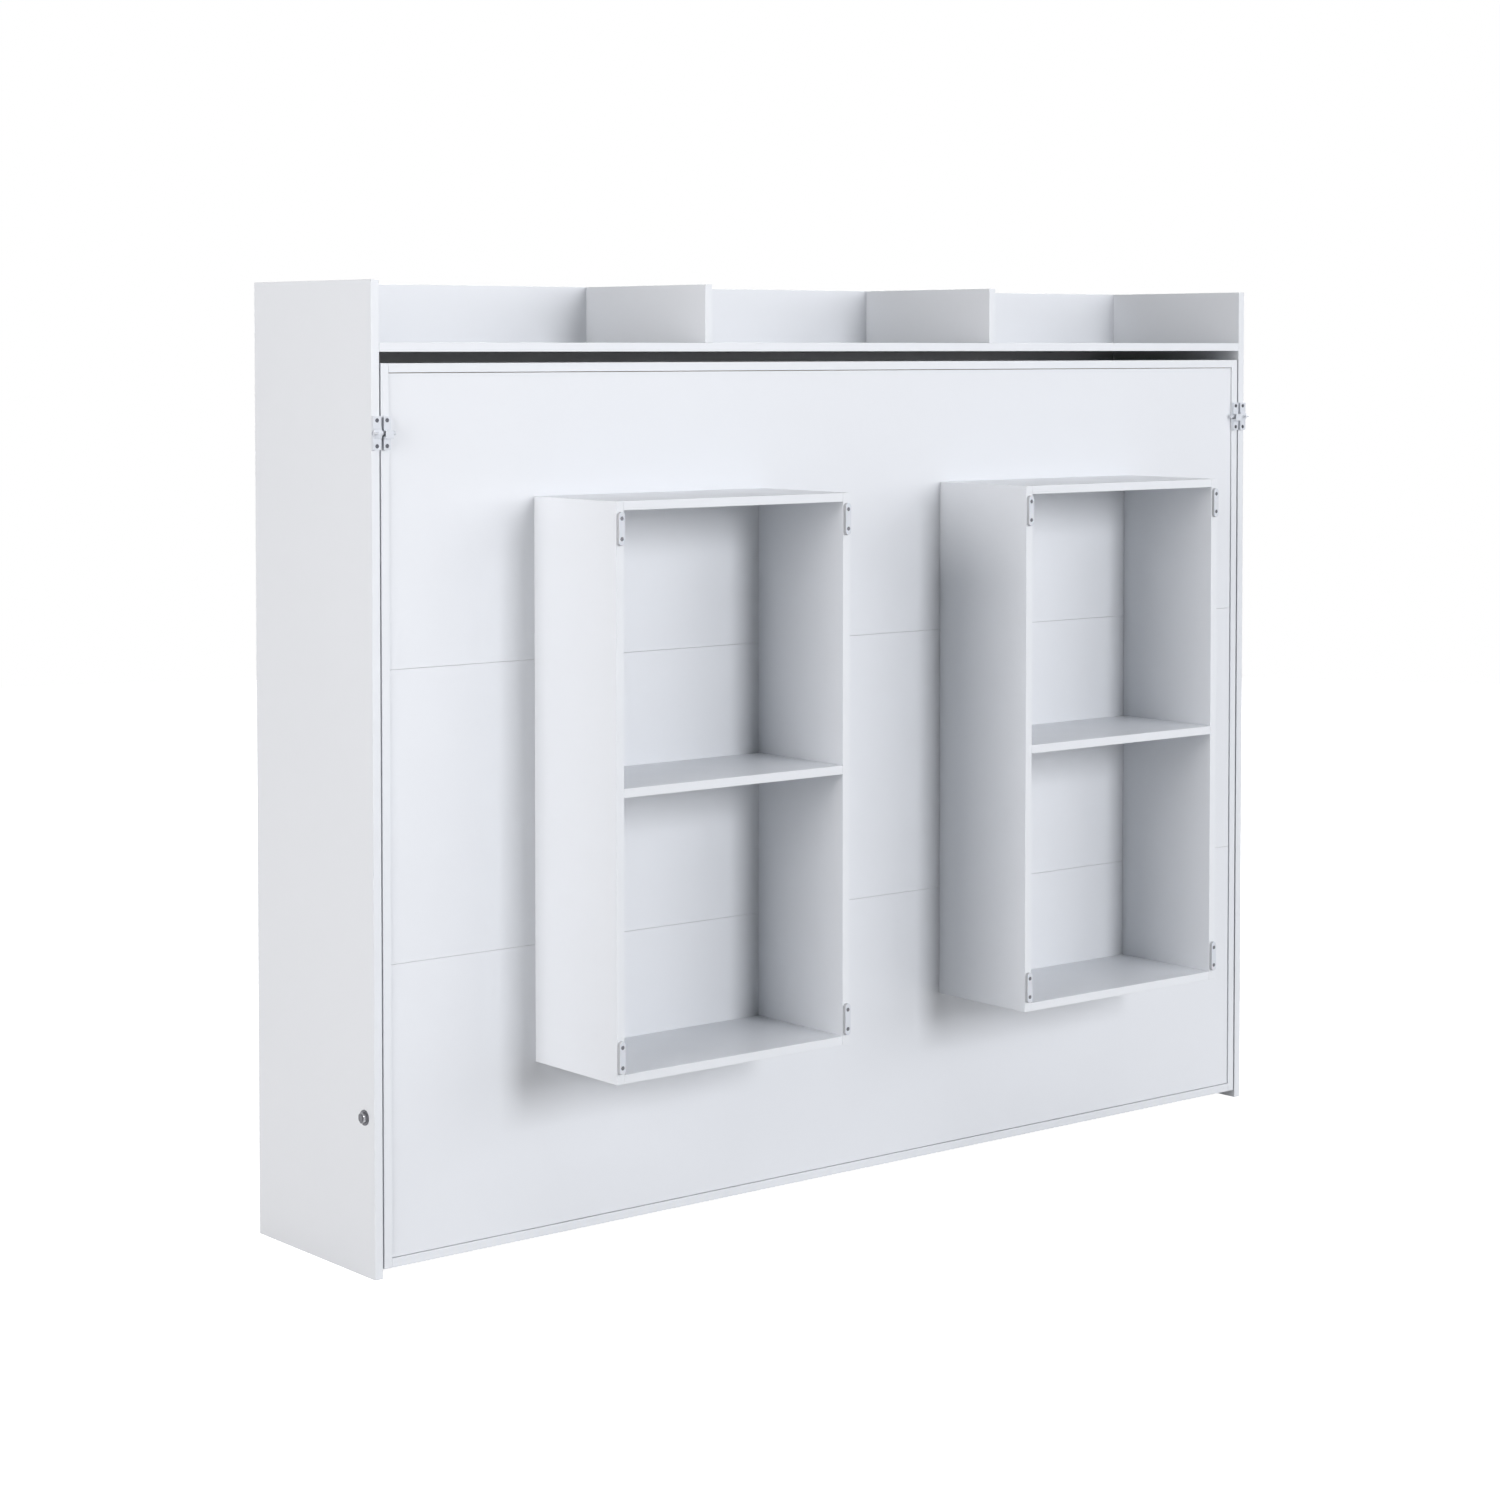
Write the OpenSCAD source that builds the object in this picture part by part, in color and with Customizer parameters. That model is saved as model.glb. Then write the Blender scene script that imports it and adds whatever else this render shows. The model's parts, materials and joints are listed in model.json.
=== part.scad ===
// Horizontal wall bed: a cabinet that stands against the wall, and a bed that folds down
// sideways out of it on two pivot bolts. Two open boxes on the bed's face are shelves while
// the bed is up and legs while it is down. The drawing shows the bed folded up and latched.
// X runs along the bed, Y from front to back, Z up. The origin is on the floor, midway
// between the two ends and midway between the boxes' glides and the back of the cabinet.

/* [Mattress] */
// Length of the mattress
mattress_l = 1905; // [1880:5:2010]
// Width of the mattress
mattress_w = 1372; // [1220:4:1530]
// Room between each end of the mattress and the bed frame
end_play = 29.5; // [10:0.5:60]
// Room between each long side of the mattress and the bed frame
side_play = 25; // [10:1:60]

/* [Cabinet] */
// Thickness of the melamine boards
board_t = 15; // [14:0.5:19]
// Gap between the bed frame and each side panel
side_gap = 3; // [3:0.5:8]
// Gap between the floor and the folded bed
floor_gap = 15; // [8:1:40]
// Gap between the folded bed and the top shelf
top_gap = 18; // [14:1:40]
// Height of the gallery above the top shelf
gallery_h = 100; // [60:5:200]
// Room behind the bed's lower rear edge as it swings
swing_clear = 29; // [10:1:80]
// How far the upper back board reaches below the top shelf
upper_back_drop = 100; // [60:5:200]
// Height of the lower back rail
lower_rail_h = 120; // [80:5:240]

/* [Back] */
// Thickness of the back panels
back_t = 5; // [3:0.5:6]
// Depth of the grooves that hold the back panels
groove_depth = 7; // [4:0.5:9]
// Width of each joining strip between two back panels
joiner_w = 16; // [12:1:30]
// Wall of the joining strips
joiner_wall = 1.2; // [1:0.1:2]
// Diameter of the holes for the wall screws
wall_hole_d = 6.5; // [5:0.5:9]
// Distance from each side panel to the nearest wall screw
wall_hole_in = 200; // [80:10:400]

/* [Bed frame] */
// Depth of the bed rails, front to back while folded
rail_d = 180; // [140:5:200]
// How far the bed sits behind the cabinet's front edges
bed_set = 0.5; // [0:0.5:5]
// How far the front boards sit behind the rails' front edges
panel_set = 2.5; // [1:0.5:10]
// Open line between the front boards and the rails around them
panel_gap = 1; // [0.3:0.1:2]
// Open line between two front boards
seam = 0.4; // [0.2:0.1:3]
// Width of the support beams
beam_w = 36; // [24:1:60]
// Width of the ledgers along the long rails
ledger_w = 18; // [12:1:30]
// Depth of the beams and ledgers that carry the slats
beam_d = 40; // [30:1:60]
// Number of mattress slats
slat_n = 11; // [8:1:16]
// Width of a slat
slat_w = 70; // [50:1:100]
// Thickness of a slat
slat_t = 12; // [10:1:20]

/* [Pivot] */
// Diameter of the bolt's smooth shoulder
shoulder_d = 14; // [12:0.5:16]
// Diameter of the bolt's thread
thread_d = 10; // [8:1:11]
// Diameter of the bolt's hexagon head across its corners
bolt_head_d = 20; // [18:0.5:26]
// Height of the bolt's head
bolt_head_h = 4; // [3:0.5:8]
// Wall of the flanged bush
bush_wall = 1.95; // [1.5:0.05:4]
// Diameter of the bush's flange and of the thrust washer
bush_flange_d = 26; // [24:1:30]
// Thickness of the bush's flange
bush_flange_t = 1.5; // [1:0.1:2]
// Diameter of the outer washer
washer_d = 25; // [22:1:34]
// Thickness of the outer washer
washer_t = 2; // [1:0.5:3]
// Width of the nut across its flats
nut_af = 16; // [15:1:20]
// Height of the nut
nut_h = 5; // [4:0.5:12]

/* [Boxes] */
// Width of each box
box_w = 492; // [400:1:600]
// Height of each box
box_h = 938; // [760:2:1000]
// Depth of each box, from the front boards to its open front
box_d = 226; // [180:1:260]
// Distance between the two boxes
box_gap = 413; // [201:2:601]
// Height of the boxes above the bed's lower edge
box_rise = 294; // [200:1:400]
// Length of a glide
glide_l = 54; // [42:1:80]
// Width of a glide
glide_w = 12; // [9:0.5:14]
// Thickness of a glide
glide_t = 6; // [4:0.5:10]
// Distance from a glide to the end of its board
glide_in = 17; // [5:1:60]
// Distance between a glide's two screws
glide_pitch = 33; // [20:1:36]

/* [Latch] */
// Distance from the bed's upper edge down to the latches
latch_drop = 111; // [60:1:400]
// Height of the latch and keeper plates
latch_h = 54; // [52:1:80]
// Thickness of the latch and keeper plates
plate_t = 5.5; // [4:0.5:6]
// Distance between a plate's two screws
latch_pitch = 41; // [36:1:42]
// Diameter of the latch bolt
rod_d = 6.4; // [5:0.2:7]
// How far the latch bolt reaches beyond the keeper
rod_reach = 8.5; // [3:0.5:12]
// Width of the thumb blade
blade_w = 7; // [4:0.5:9]
// Thickness of the thumb blade
blade_t = 2.7; // [1.5:0.1:3.5]
// How far the thumb blade stands out from the plate
blade_l = 11; // [6:0.5:16]

/* [Hidden] */
$fn = 48;

// Clearances: a drilled fastener hole, a running fit, two faces that pass, and a cut's overrun
hole_fit = 0.1;
run_fit = 0.05;
pass_gap = 0.3;
over = 1;

// Widths, from the middle outwards
well_x = mattress_l / 2 + end_play;
bed_x = well_x + board_t;
inner_x = bed_x + side_gap;
outer_x = inner_x + board_t;

// Heights, from the floor upwards
bed_z = floor_gap;
well_z = bed_z + board_t;
well_h = mattress_w + 2 * side_play;
bed_h = well_h + 2 * board_t;
shelf_z = bed_z + bed_h + top_gap;
shelf_top = shelf_z + board_t;
cab_h = shelf_top + gallery_h;
upper_back_z = shelf_z - upper_back_drop;
lower_rail_z = floor_gap;
lower_rail_top = lower_rail_z + lower_rail_h;

// Pivot: just behind the front boards, at the height that sets the glides on the floor
head_clear = 1;
face_in = bed_set + panel_set;
pivot_in = face_in + board_t + head_clear + bolt_head_d / 2;
pivot_z = pivot_in - face_in + box_d + glide_t;

// The bolt's seat in the bush, how far its thread shows, and how deep its three parts overlap
bush_bore = shoulder_d + 2 * run_fit;
bush_d = bush_bore + 2 * bush_wall;
thread_show = 0.5;
bolt_lap = 1;

// Depths: the lower rear edge of the bed swings clear of the back
swing_r = norm([bed_set + rail_d - pivot_in, pivot_z - bed_z]);
cab_d = ceil(pivot_in + swing_r + swing_clear) + board_t;
reach = box_d + glide_t - face_in;
front_y = (reach - cab_d) / 2;
back_y = front_y + cab_d;
bed_y = front_y + bed_set;
bed_rear_y = bed_y + rail_d;
face_y = front_y + face_in;
panel_back_y = face_y + board_t;
slat_y = panel_back_y + beam_d;
pivot_y = front_y + pivot_in;
box_front_y = face_y - box_d;
shelf_d = cab_d - board_t;

// Front boards and the beams behind their seams
front_board_h = (well_h - 2 * panel_gap - 2 * seam) / 3;
front_board_pitch = front_board_h + seam;

// Back panels, in grooves in the middle of the back boards' edges
groove_play = 0.4;
groove_w = back_t + groove_play;
groove_y = back_y - board_t / 2 - groove_w / 2;
back_in = groove_depth - 1;
joiner_web = 1.5;
joiner_gap = joiner_web + groove_play;
back_total_w = 2 * (inner_x + back_in);
back_panel_w = (back_total_w - 2 * joiner_gap) / 3;

// Gallery dividers, at the thirds of the shelf
divider_x = inner_x / 3;

// Height of the upper wall screws in their back board
wall_hole_up = 50;

// Fasteners
cam_d = 15;
cam_h = 12.2;
cam_in = 24;
cam_bolt_d = 7;
cam_thread_d = 5;
cam_thread_l = 11;
cam_edge_in = 35;
cam_shelf_in = 60;
dowel_d = 8;
dowel_l = 30;
dowel_short = 9.5;
dowel_edge_in = 40;
frame_bolt_d = 6;
frame_bolt_head_d = 12;
frame_bolt_head_h = 3;
frame_bolt_l = 45;
barrel_d = 10;
barrel_h = 12;
barrel_in = 22;
corner_bolt_in = 84;
corner_bolt_pitch = 62;
box_screw_d = 5;
box_screw_head_d = 10;
box_screw_head_h = 3;
box_screw_l = 45;
box_screw_in = 60;
plate_screw_d = 3;
plate_screw_head_d = 6.8;
plate_screw_l = 18;
glide_screw_l = 22;

// How far the screws of the plates and glides sit below the face around them
plate_screw_in = 0.6;

// Latch: the bolt slides in a boss on the side panel's plate, into a keeper on the bed's rail
latch_z = bed_z + bed_h - latch_drop;
rod_seat = 0.6;
rod_fit = 0.1;
rod_in = rod_seat + rod_d / 2;
rod_y = front_y - rod_in;
boss_wall = 1.2;
boss_front = rod_in + rod_d / 2 + rod_fit + boss_wall;
boss_h = 17;
boss_edge = 0.8;
// The boss ends in a nose that guides the bolt across the gap beside the bed
nose_wall = 1.1;
nose_d = rod_d + 2 * (rod_fit + nose_wall);
nose_l = side_gap - pass_gap;
nose_root = 1;
rod_end_in = 1.5;
rod_x0 = bed_x - board_t - rod_reach;
rod_x1 = outer_x - rod_end_in;
keeper_in = 1;
keeper_shift = 1.3;
keeper_x = well_x + board_t / 2 - keeper_shift;
keeper_wall = 1.2;
keeper_front_wall = 1.5;
keeper_foot = 3.5;
keeper_drop = 1.8;
keeper_front_play = 4;
keeper_block_in = 0.5;
plate_round = 2;

// Closed stop behind each end rail of the bed
stop_w = 26;
stop_d = 30;
stop_h = 120;
bumper_d = 14;
bumper_t = 3;
stop_y = bed_rear_y + pass_gap + bumper_t;

// Lower face of the support beam behind the seam above front board i
function beam_z(i) = well_z + panel_gap + i * front_board_pitch - seam / 2 - beam_w / 2;

// Bolts through the right end rail: [y, z, way the nut's hole opens, half the board's height]
FRAME_BOLTS = [
    [bed_y + corner_bolt_in, bed_z + board_t / 2, 1, board_t / 2],
    [bed_y + corner_bolt_in + corner_bolt_pitch, bed_z + board_t / 2, 1, board_t / 2],
    [bed_y + corner_bolt_in, bed_z + bed_h - board_t / 2, -1, board_t / 2],
    [bed_y + corner_bolt_in + corner_bolt_pitch, bed_z + bed_h - board_t / 2, -1, board_t / 2],
    [panel_back_y + beam_d / 2, beam_z(1) + beam_w / 2, 1, beam_w / 2],
    [panel_back_y + beam_d / 2, beam_z(2) + beam_w / 2, 1, beam_w / 2]
];

// Cam fittings at the right side panel: [y, z, way the cam's pocket opens]
CAM_PLACES = [
    [front_y + cam_shelf_in, shelf_z + board_t / 2, "down"],
    [front_y + shelf_d - cam_shelf_in, shelf_z + board_t / 2, "down"],
    [back_y - board_t / 2, upper_back_z + cam_edge_in, "back"],
    [back_y - board_t / 2, cab_h - cam_edge_in, "back"],
    [back_y - board_t / 2, lower_rail_z + cam_edge_in, "back"],
    [back_y - board_t / 2, lower_rail_top - cam_edge_in, "back"]
];

// Boxes, and their boards between the two sides
box_centre = box_gap / 2 + box_w / 2;
box_z = bed_z + box_rise;
box_inner_w = box_w - 2 * board_t;
BOX_LEVELS = [0, (box_h - board_t) / 2, box_h - board_t];
BOX_SCREW_LEVELS = [box_screw_in, box_h / 2, box_h - box_screw_in];
ENDS = [-1, 1];

MELAMINE = [0.93, 0.94, 0.95];
BEAM_WOOD = [0.80, 0.66, 0.46];
SLAT_WOOD = [0.86, 0.74, 0.55];
BACKBOARD = [0.90, 0.90, 0.88];
STEEL = [0.55, 0.56, 0.58];
DARK_STEEL = [0.20, 0.20, 0.21];
WHITE_METAL = [0.86, 0.88, 0.91];
NYLON = [0.82, 0.84, 0.87];
RUBBER = [0.12, 0.12, 0.12];

// ---- helpers ----

// A straight bar along X, Y or Z, from its middle at the start
module bar_x(at, d, l, fn = $fn)
    translate(at)
        rotate([0, 90, 0])
            cylinder(d = d, h = l, $fn = fn);

module bar_y(at, d, l, fn = $fn)
    translate(at)
        rotate([-90, 0, 0])
            cylinder(d = d, h = l, $fn = fn);

module bar_z(at, d, l)
    translate(at)
        cylinder(d = d, h = l);

// A board from its lowest corner
module board(at, size)
    translate(at)
        cube(size);

// The same piece on the left, mirrored from the right
module on_left()
    mirror([1, 0, 0])
        children();

module both_ends() {
    children();
    on_left()
        children();
}

// A flat rounded rectangle, centred
module rounded(w, h, r) {
    square([w - 2 * r, h], center = true);
    square([w, h - 2 * r], center = true);
    for (sx = ENDS, sz = ENDS)
        translate([sx * (w / 2 - r), sz * (h / 2 - r)])
            circle(r);
}

// A flat shape in X and Z, given its thickness towards the front, from a plane at y
module towards_front(x, y, z, t)
    translate([x, y, z])
        rotate([90, 0, 0])
            linear_extrude(t)
                children();

// A countersunk screw along +Y whose tip is l behind the outer face of its plate or glide
module plate_screw(at, l)
    translate([at[0], at[1] + plate_screw_in, at[2]])
        rotate([-90, 0, 0])
            union() {
                cylinder(d = plate_screw_d, h = l - plate_screw_in);
                cylinder(d1 = plate_screw_head_d, d2 = plate_screw_d,
                    h = (plate_screw_head_d - plate_screw_d) / 2);
            }

// The hole for such a screw through a plate or glide that is t thick
module plate_screw_hole(at, t) {
    hole_d = plate_screw_d + 2 * hole_fit;
    mouth_d = plate_screw_head_d + 2 * (hole_fit + plate_screw_in);
    translate(at)
        rotate([-90, 0, 0])
            union() {
                cylinder(d = hole_d, h = t + over);
                cylinder(d1 = mouth_d, d2 = hole_d, h = (mouth_d - hole_d) / 2);
                translate([0, 0, -over])
                    cylinder(d = mouth_d, h = over);
            }
}

// ---- cam fittings between a cross board and the right side panel ----

// A cam, or with an overrun the room for it
module cam_body(place, d, h, extra = 0) {
    x = inner_x - cam_in;
    if (place[2] == "down")
        bar_z([x, place[0], place[1] - board_t / 2 - extra], d, h + extra);
    else
        bar_y([x, place[0] + board_t / 2 - h, place[1]], d, h + extra);
}

module cam_bolt_room(place)
    bar_x([inner_x - cam_in - cam_bolt_d / 2, place[0], place[1]], cam_bolt_d + 2 * hole_fit,
        cam_in + cam_bolt_d / 2 + over);

// Everything that the fittings take out of a cross board: the cams' pockets and the bolts' bores
module cam_pockets(first, last)
    both_ends()
        for (i = [first:last]) {
            cam_body(CAM_PLACES[i], cam_d + 2 * hole_fit, cam_h + pass_gap, over);
            cam_bolt_room(CAM_PLACES[i]);
        }

module cam_locks()
    color(STEEL)
        both_ends()
            for (place = CAM_PLACES)
                difference() {
                    cam_body(place, cam_d, cam_h);
                    cam_bolt_room(place);
                }

module cam_bolts()
    color(STEEL)
        both_ends()
            for (place = CAM_PLACES)
                union() {
                    bar_x([inner_x - cam_in, place[0], place[1]], cam_bolt_d, cam_in);
                    bar_x([inner_x - over, place[0], place[1]], cam_thread_d, cam_thread_l + over);
                }

// ---- cabinet boards ----

module side_panel() {
    pilot_l = plate_screw_l - plate_t + over;
    difference() {
        board([inner_x, front_y, 0], [board_t, cab_d, cab_h]);
        // Groove for the back panels
        board([inner_x - over, groove_y, lower_rail_top - groove_depth],
            [groove_depth + over, groove_w, upper_back_z - lower_rail_top + 2 * groove_depth]);
        // Hole for the pivot bolt
        bar_x([inner_x - over, pivot_y, pivot_z], thread_d + 4 * hole_fit, board_t + 2 * over);
        // Holes for the fittings of the cross boards
        for (place = CAM_PLACES)
            bar_x([inner_x - over, place[0], place[1]], cam_thread_d + 2 * hole_fit,
                cam_thread_l + pass_gap + over);
        // Holes for the latch plate's screws
        for (s = ENDS)
            bar_y([inner_x + board_t / 2, front_y - over, latch_z + s * latch_pitch / 2],
                plate_screw_d + 2 * hole_fit, pilot_l + over);
    }
}

module left_side_panel()
    color(MELAMINE)
        on_left()
            side_panel();

module right_side_panel()
    color(MELAMINE)
        side_panel();

module top_shelf()
    color(MELAMINE)
        difference() {
            board([-inner_x, front_y, shelf_z], [2 * inner_x, shelf_d, board_t]);
            cam_pockets(0, 1);
            for (s = ENDS)
                divider_dowel_holes(s);
        }

module upper_back_board()
    color(MELAMINE)
        difference() {
            board([-inner_x, back_y - board_t, upper_back_z],
                [2 * inner_x, board_t, cab_h - upper_back_z]);
            board([-inner_x - over, groove_y, upper_back_z - over],
                [2 * (inner_x + over), groove_w, groove_depth + over]);
            cam_pockets(2, 3);
            wall_holes(upper_back_z + wall_hole_up);
        }

module lower_back_rail()
    color(MELAMINE)
        difference() {
            board([-inner_x, back_y - board_t, lower_rail_z], [2 * inner_x, board_t, lower_rail_h]);
            board([-inner_x - over, groove_y, lower_rail_top - groove_depth],
                [2 * (inner_x + over), groove_w, groove_depth + over]);
            cam_pockets(4, 5);
            wall_holes(lower_rail_z + lower_rail_h / 2);
        }

// Two holes for wall screws, through a back board at one height
module wall_holes(z)
    for (s = ENDS)
        bar_y([s * (inner_x - wall_hole_in), back_y - board_t - over, z], wall_hole_d,
            board_t + 2 * over);

// ---- gallery dividers and their dowels ----

module divider(s)
    difference() {
        board([s * divider_x - board_t / 2, front_y, shelf_top], [board_t, shelf_d, gallery_h]);
        divider_dowel_holes(s);
    }

module left_divider()
    color(MELAMINE)
        divider(-1);

module right_divider()
    color(MELAMINE)
        divider(1);

module divider_dowel_rows(s, d, extra)
    for (y = [front_y + cam_shelf_in, front_y + shelf_d - cam_shelf_in])
        bar_z([s * divider_x, y, shelf_top - dowel_short - extra], d, dowel_l + 2 * extra);

module divider_dowel_holes(s)
    divider_dowel_rows(s, dowel_d + 2 * hole_fit, pass_gap);

module divider_dowels()
    color(BEAM_WOOD)
        for (s = ENDS)
            divider_dowel_rows(s, dowel_d, 0);

// ---- back panels and their joining strips ----

module back_panel(i)
    board([-back_total_w / 2 + i * (back_panel_w + joiner_gap), groove_y + groove_play / 2,
        lower_rail_top - back_in],
        [back_panel_w, back_t, upper_back_z - lower_rail_top + 2 * back_in]);

module left_back_panel()
    color(BACKBOARD)
        back_panel(0);

module centre_back_panel()
    color(BACKBOARD)
        back_panel(1);

module right_back_panel()
    color(BACKBOARD)
        back_panel(2);

module back_panel_joiners()
    color(WHITE_METAL)
        for (s = ENDS)
            translate([s * (back_panel_w + joiner_gap) / 2, groove_y + groove_w / 2,
                lower_rail_top + pass_gap])
                linear_extrude(upper_back_z - lower_rail_top - 2 * pass_gap)
                    union() {
                        square([joiner_web, groove_w + joiner_wall], center = true);
                        for (f = ENDS)
                            translate([0, f * (groove_w + joiner_wall) / 2])
                                square([joiner_w, joiner_wall], center = true);
                    }

// ---- closed stops ----

module stop_block()
    board([inner_x - stop_w, stop_y, latch_z - stop_h / 2], [stop_w, stop_d, stop_h]);

module left_stop_block()
    color(MELAMINE)
        on_left()
            stop_block();

module right_stop_block()
    color(MELAMINE)
        stop_block();

module stop_bumpers()
    color(RUBBER)
        both_ends()
            bar_y([well_x + board_t / 2, stop_y - bumper_t, latch_z], bumper_d, bumper_t);

// ---- pivot ----

module pivot_bolt() {
    head_x = well_x - pass_gap - bolt_head_h;
    shoulder_x = head_x + bolt_head_h - bolt_lap;
    thread_x = inner_x - bolt_lap;
    end_x = outer_x + washer_t + nut_h + thread_show;
    union() {
        bar_x([head_x, pivot_y, pivot_z], bolt_head_d, bolt_head_h, 6);
        bar_x([shoulder_x, pivot_y, pivot_z], shoulder_d, inner_x - shoulder_x);
        bar_x([thread_x, pivot_y, pivot_z], thread_d, end_x - thread_x);
    }
}

module left_pivot_bolt()
    color(STEEL)
        on_left()
            pivot_bolt();

module right_pivot_bolt()
    color(STEEL)
        pivot_bolt();

// A flat ring around the pivot, from x outwards
module pivot_ring(x, outer_d, bore_d, t, fn = $fn)
    difference() {
        bar_x([x, pivot_y, pivot_z], outer_d, t, fn);
        bar_x([x - over, pivot_y, pivot_z], bore_d, t + 2 * over);
    }

module pivot_nuts()
    color(STEEL)
        both_ends()
            pivot_ring(outer_x + washer_t, nut_af / cos(30), thread_d + 2 * run_fit, nut_h, 6);

module pivot_washers()
    color(STEEL)
        both_ends()
            pivot_ring(outer_x, washer_d, thread_d + 4 * hole_fit, washer_t);

module thrust_washers()
    color(NYLON)
        both_ends()
            pivot_ring(bed_x + bush_flange_t + pass_gap, bush_flange_d,
                shoulder_d + 2 * hole_fit, side_gap - bush_flange_t - pass_gap);

module pivot_bush()
    difference() {
        union() {
            bar_x([well_x, pivot_y, pivot_z], bush_d, board_t + bolt_lap);
            bar_x([bed_x, pivot_y, pivot_z], bush_flange_d, bush_flange_t);
        }
        bar_x([well_x - over, pivot_y, pivot_z], bush_bore, board_t + bush_flange_t + 2 * over);
    }

module left_pivot_bush()
    color(NYLON)
        on_left()
            pivot_bush();

module right_pivot_bush()
    color(NYLON)
        pivot_bush();

// ---- latches ----

// Outline of the boss: straight at the bolt's mouth and round at its other end
module boss_outline() {
    mouth = board_t / 2;
    r = boss_h / 2;
    intersection() {
        union() {
            circle(r);
            translate([-mouth, -r])
                square([mouth, boss_h]);
        }
        square([board_t, boss_h], center = true);
    }
}

module latch_plate() {
    x = inner_x + board_t / 2;
    dome_rise = boss_front - plate_t - boss_edge;
    dome_r = (pow(boss_h / 2, 2) + pow(dome_rise, 2)) / (2 * dome_rise);
    slot_w = blade_t + 2 * pass_gap;
    difference() {
        union() {
            towards_front(x, front_y, latch_z, plate_t)
                rounded(board_t, latch_h, plate_round);
            intersection() {
                towards_front(x, front_y - plate_t / 2, latch_z, boss_front - plate_t / 2)
                    boss_outline();
                bar_x([inner_x - over, front_y - boss_front + dome_r, latch_z], 2 * dome_r,
                    board_t + 2 * over, 96);
            }
            intersection() {
                bar_x([inner_x - nose_l, rod_y, latch_z], nose_d, nose_l + nose_root);
                board([inner_x - nose_l - over, rod_y - nose_d, latch_z - nose_d],
                    [nose_l + nose_root + 2 * over, rod_in + nose_d, 2 * nose_d]);
            }
        }
        bar_x([inner_x - nose_l - over, rod_y, latch_z], rod_d + 2 * rod_fit,
            board_t + nose_l + 2 * over);
        // Slot for the thumb blade, open at its outer end
        board([rod_x1 - blade_w - pass_gap, front_y - boss_front - over, latch_z - slot_w / 2],
            [blade_w + pass_gap + rod_end_in + over, boss_front - rod_in + over, slot_w]);
        for (s = ENDS)
            plate_screw_hole([x, front_y - plate_t, latch_z + s * latch_pitch / 2], plate_t);
    }
}

module left_latch_plate()
    color(WHITE_METAL)
        on_left()
            latch_plate();

module right_latch_plate()
    color(WHITE_METAL)
        latch_plate();

module latch_bolt() {
    blade_front = plate_t + blade_l;
    blade_round = 1.5;
    union() {
        bar_x([rod_x0, rod_y, latch_z], rod_d, rod_x1 - rod_x0);
        translate([rod_x1 - blade_w, front_y - blade_front, latch_z - blade_t / 2])
            linear_extrude(blade_t)
                union() {
                    translate([0, blade_round])
                        square([blade_w, blade_front - rod_in - blade_round]);
                    translate([blade_round, 0])
                        square([blade_w - 2 * blade_round, 2 * blade_round]);
                    for (x = [blade_round, blade_w - blade_round])
                        translate([x, blade_round])
                            circle(blade_round);
                }
    }
}

module left_latch_bolt()
    color(WHITE_METAL)
        on_left()
            latch_bolt();

module right_latch_bolt()
    color(WHITE_METAL)
        latch_bolt();

module keeper() {
    x = keeper_x;
    block_w = board_t - 2 * keeper_block_in;
    tunnel_back = rod_in - rod_d / 2 - pass_gap;
    tunnel_front = rod_in + rod_d / 2 + keeper_front_play;
    block_front = tunnel_front + keeper_front_wall;
    tunnel_top = rod_d / 2 + pass_gap;
    tunnel_low = rod_d / 2 + keeper_drop;
    block_low = tunnel_low + keeper_foot;
    block_h = tunnel_top + keeper_wall + block_low;
    difference() {
        union() {
            towards_front(x, bed_y, latch_z, plate_t)
                rounded(board_t - 2 * keeper_in, latch_h, plate_round);
            translate([x - block_w / 2, front_y - block_front, latch_z - block_low])
                cube([block_w, block_front + bed_set - plate_t / 2, block_h]);
        }
        // Tunnel that the bolt goes through
        translate([x - board_t, front_y - tunnel_front, latch_z - tunnel_low])
            cube([2 * board_t, tunnel_front - tunnel_back, tunnel_top + tunnel_low]);
        for (s = ENDS)
            plate_screw_hole([x, bed_y - plate_t, latch_z + s * latch_pitch / 2], plate_t);
    }
}

module left_keeper()
    color(WHITE_METAL)
        on_left()
            keeper();

module right_keeper()
    color(WHITE_METAL)
        keeper();

// Two screws of one plate, on a plane at y
module plate_screws(x, y)
    for (s = ENDS)
        plate_screw([x, y - plate_t, latch_z + s * latch_pitch / 2], plate_screw_l);

module latch_plate_screws()
    color(DARK_STEEL)
        both_ends()
            plate_screws(inner_x + board_t / 2, front_y);

module keeper_screws()
    color(DARK_STEEL)
        both_ends()
            plate_screws(keeper_x, bed_y);

// ---- bed frame ----

module frame_bolt(place)
    union() {
        bar_x([bed_x - frame_bolt_l, place[0], place[1]], frame_bolt_d, frame_bolt_l);
        translate([bed_x, place[0], place[1]])
            rotate([0, -90, 0])
                cylinder(d1 = frame_bolt_head_d, d2 = frame_bolt_d, h = frame_bolt_head_h);
    }

module frame_bolt_hole(place)
    union() {
        bar_x([bed_x - frame_bolt_l - pass_gap, place[0], place[1]], frame_bolt_d + 2 * hole_fit,
            frame_bolt_l + pass_gap + over);
        translate([bed_x, place[0], place[1]])
            rotate([0, -90, 0])
                cylinder(d1 = frame_bolt_head_d + 2 * hole_fit, d2 = frame_bolt_d + 2 * hole_fit,
                    h = frame_bolt_head_h);
    }

// The barrel nut's body, along Z in the middle of its board
module barrel(place)
    bar_z([well_x - barrel_in, place[0], place[1] - barrel_h / 2], barrel_d, barrel_h);

module bed_frame_bolts()
    color(STEEL)
        both_ends()
            for (place = FRAME_BOLTS)
                frame_bolt(place);

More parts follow.
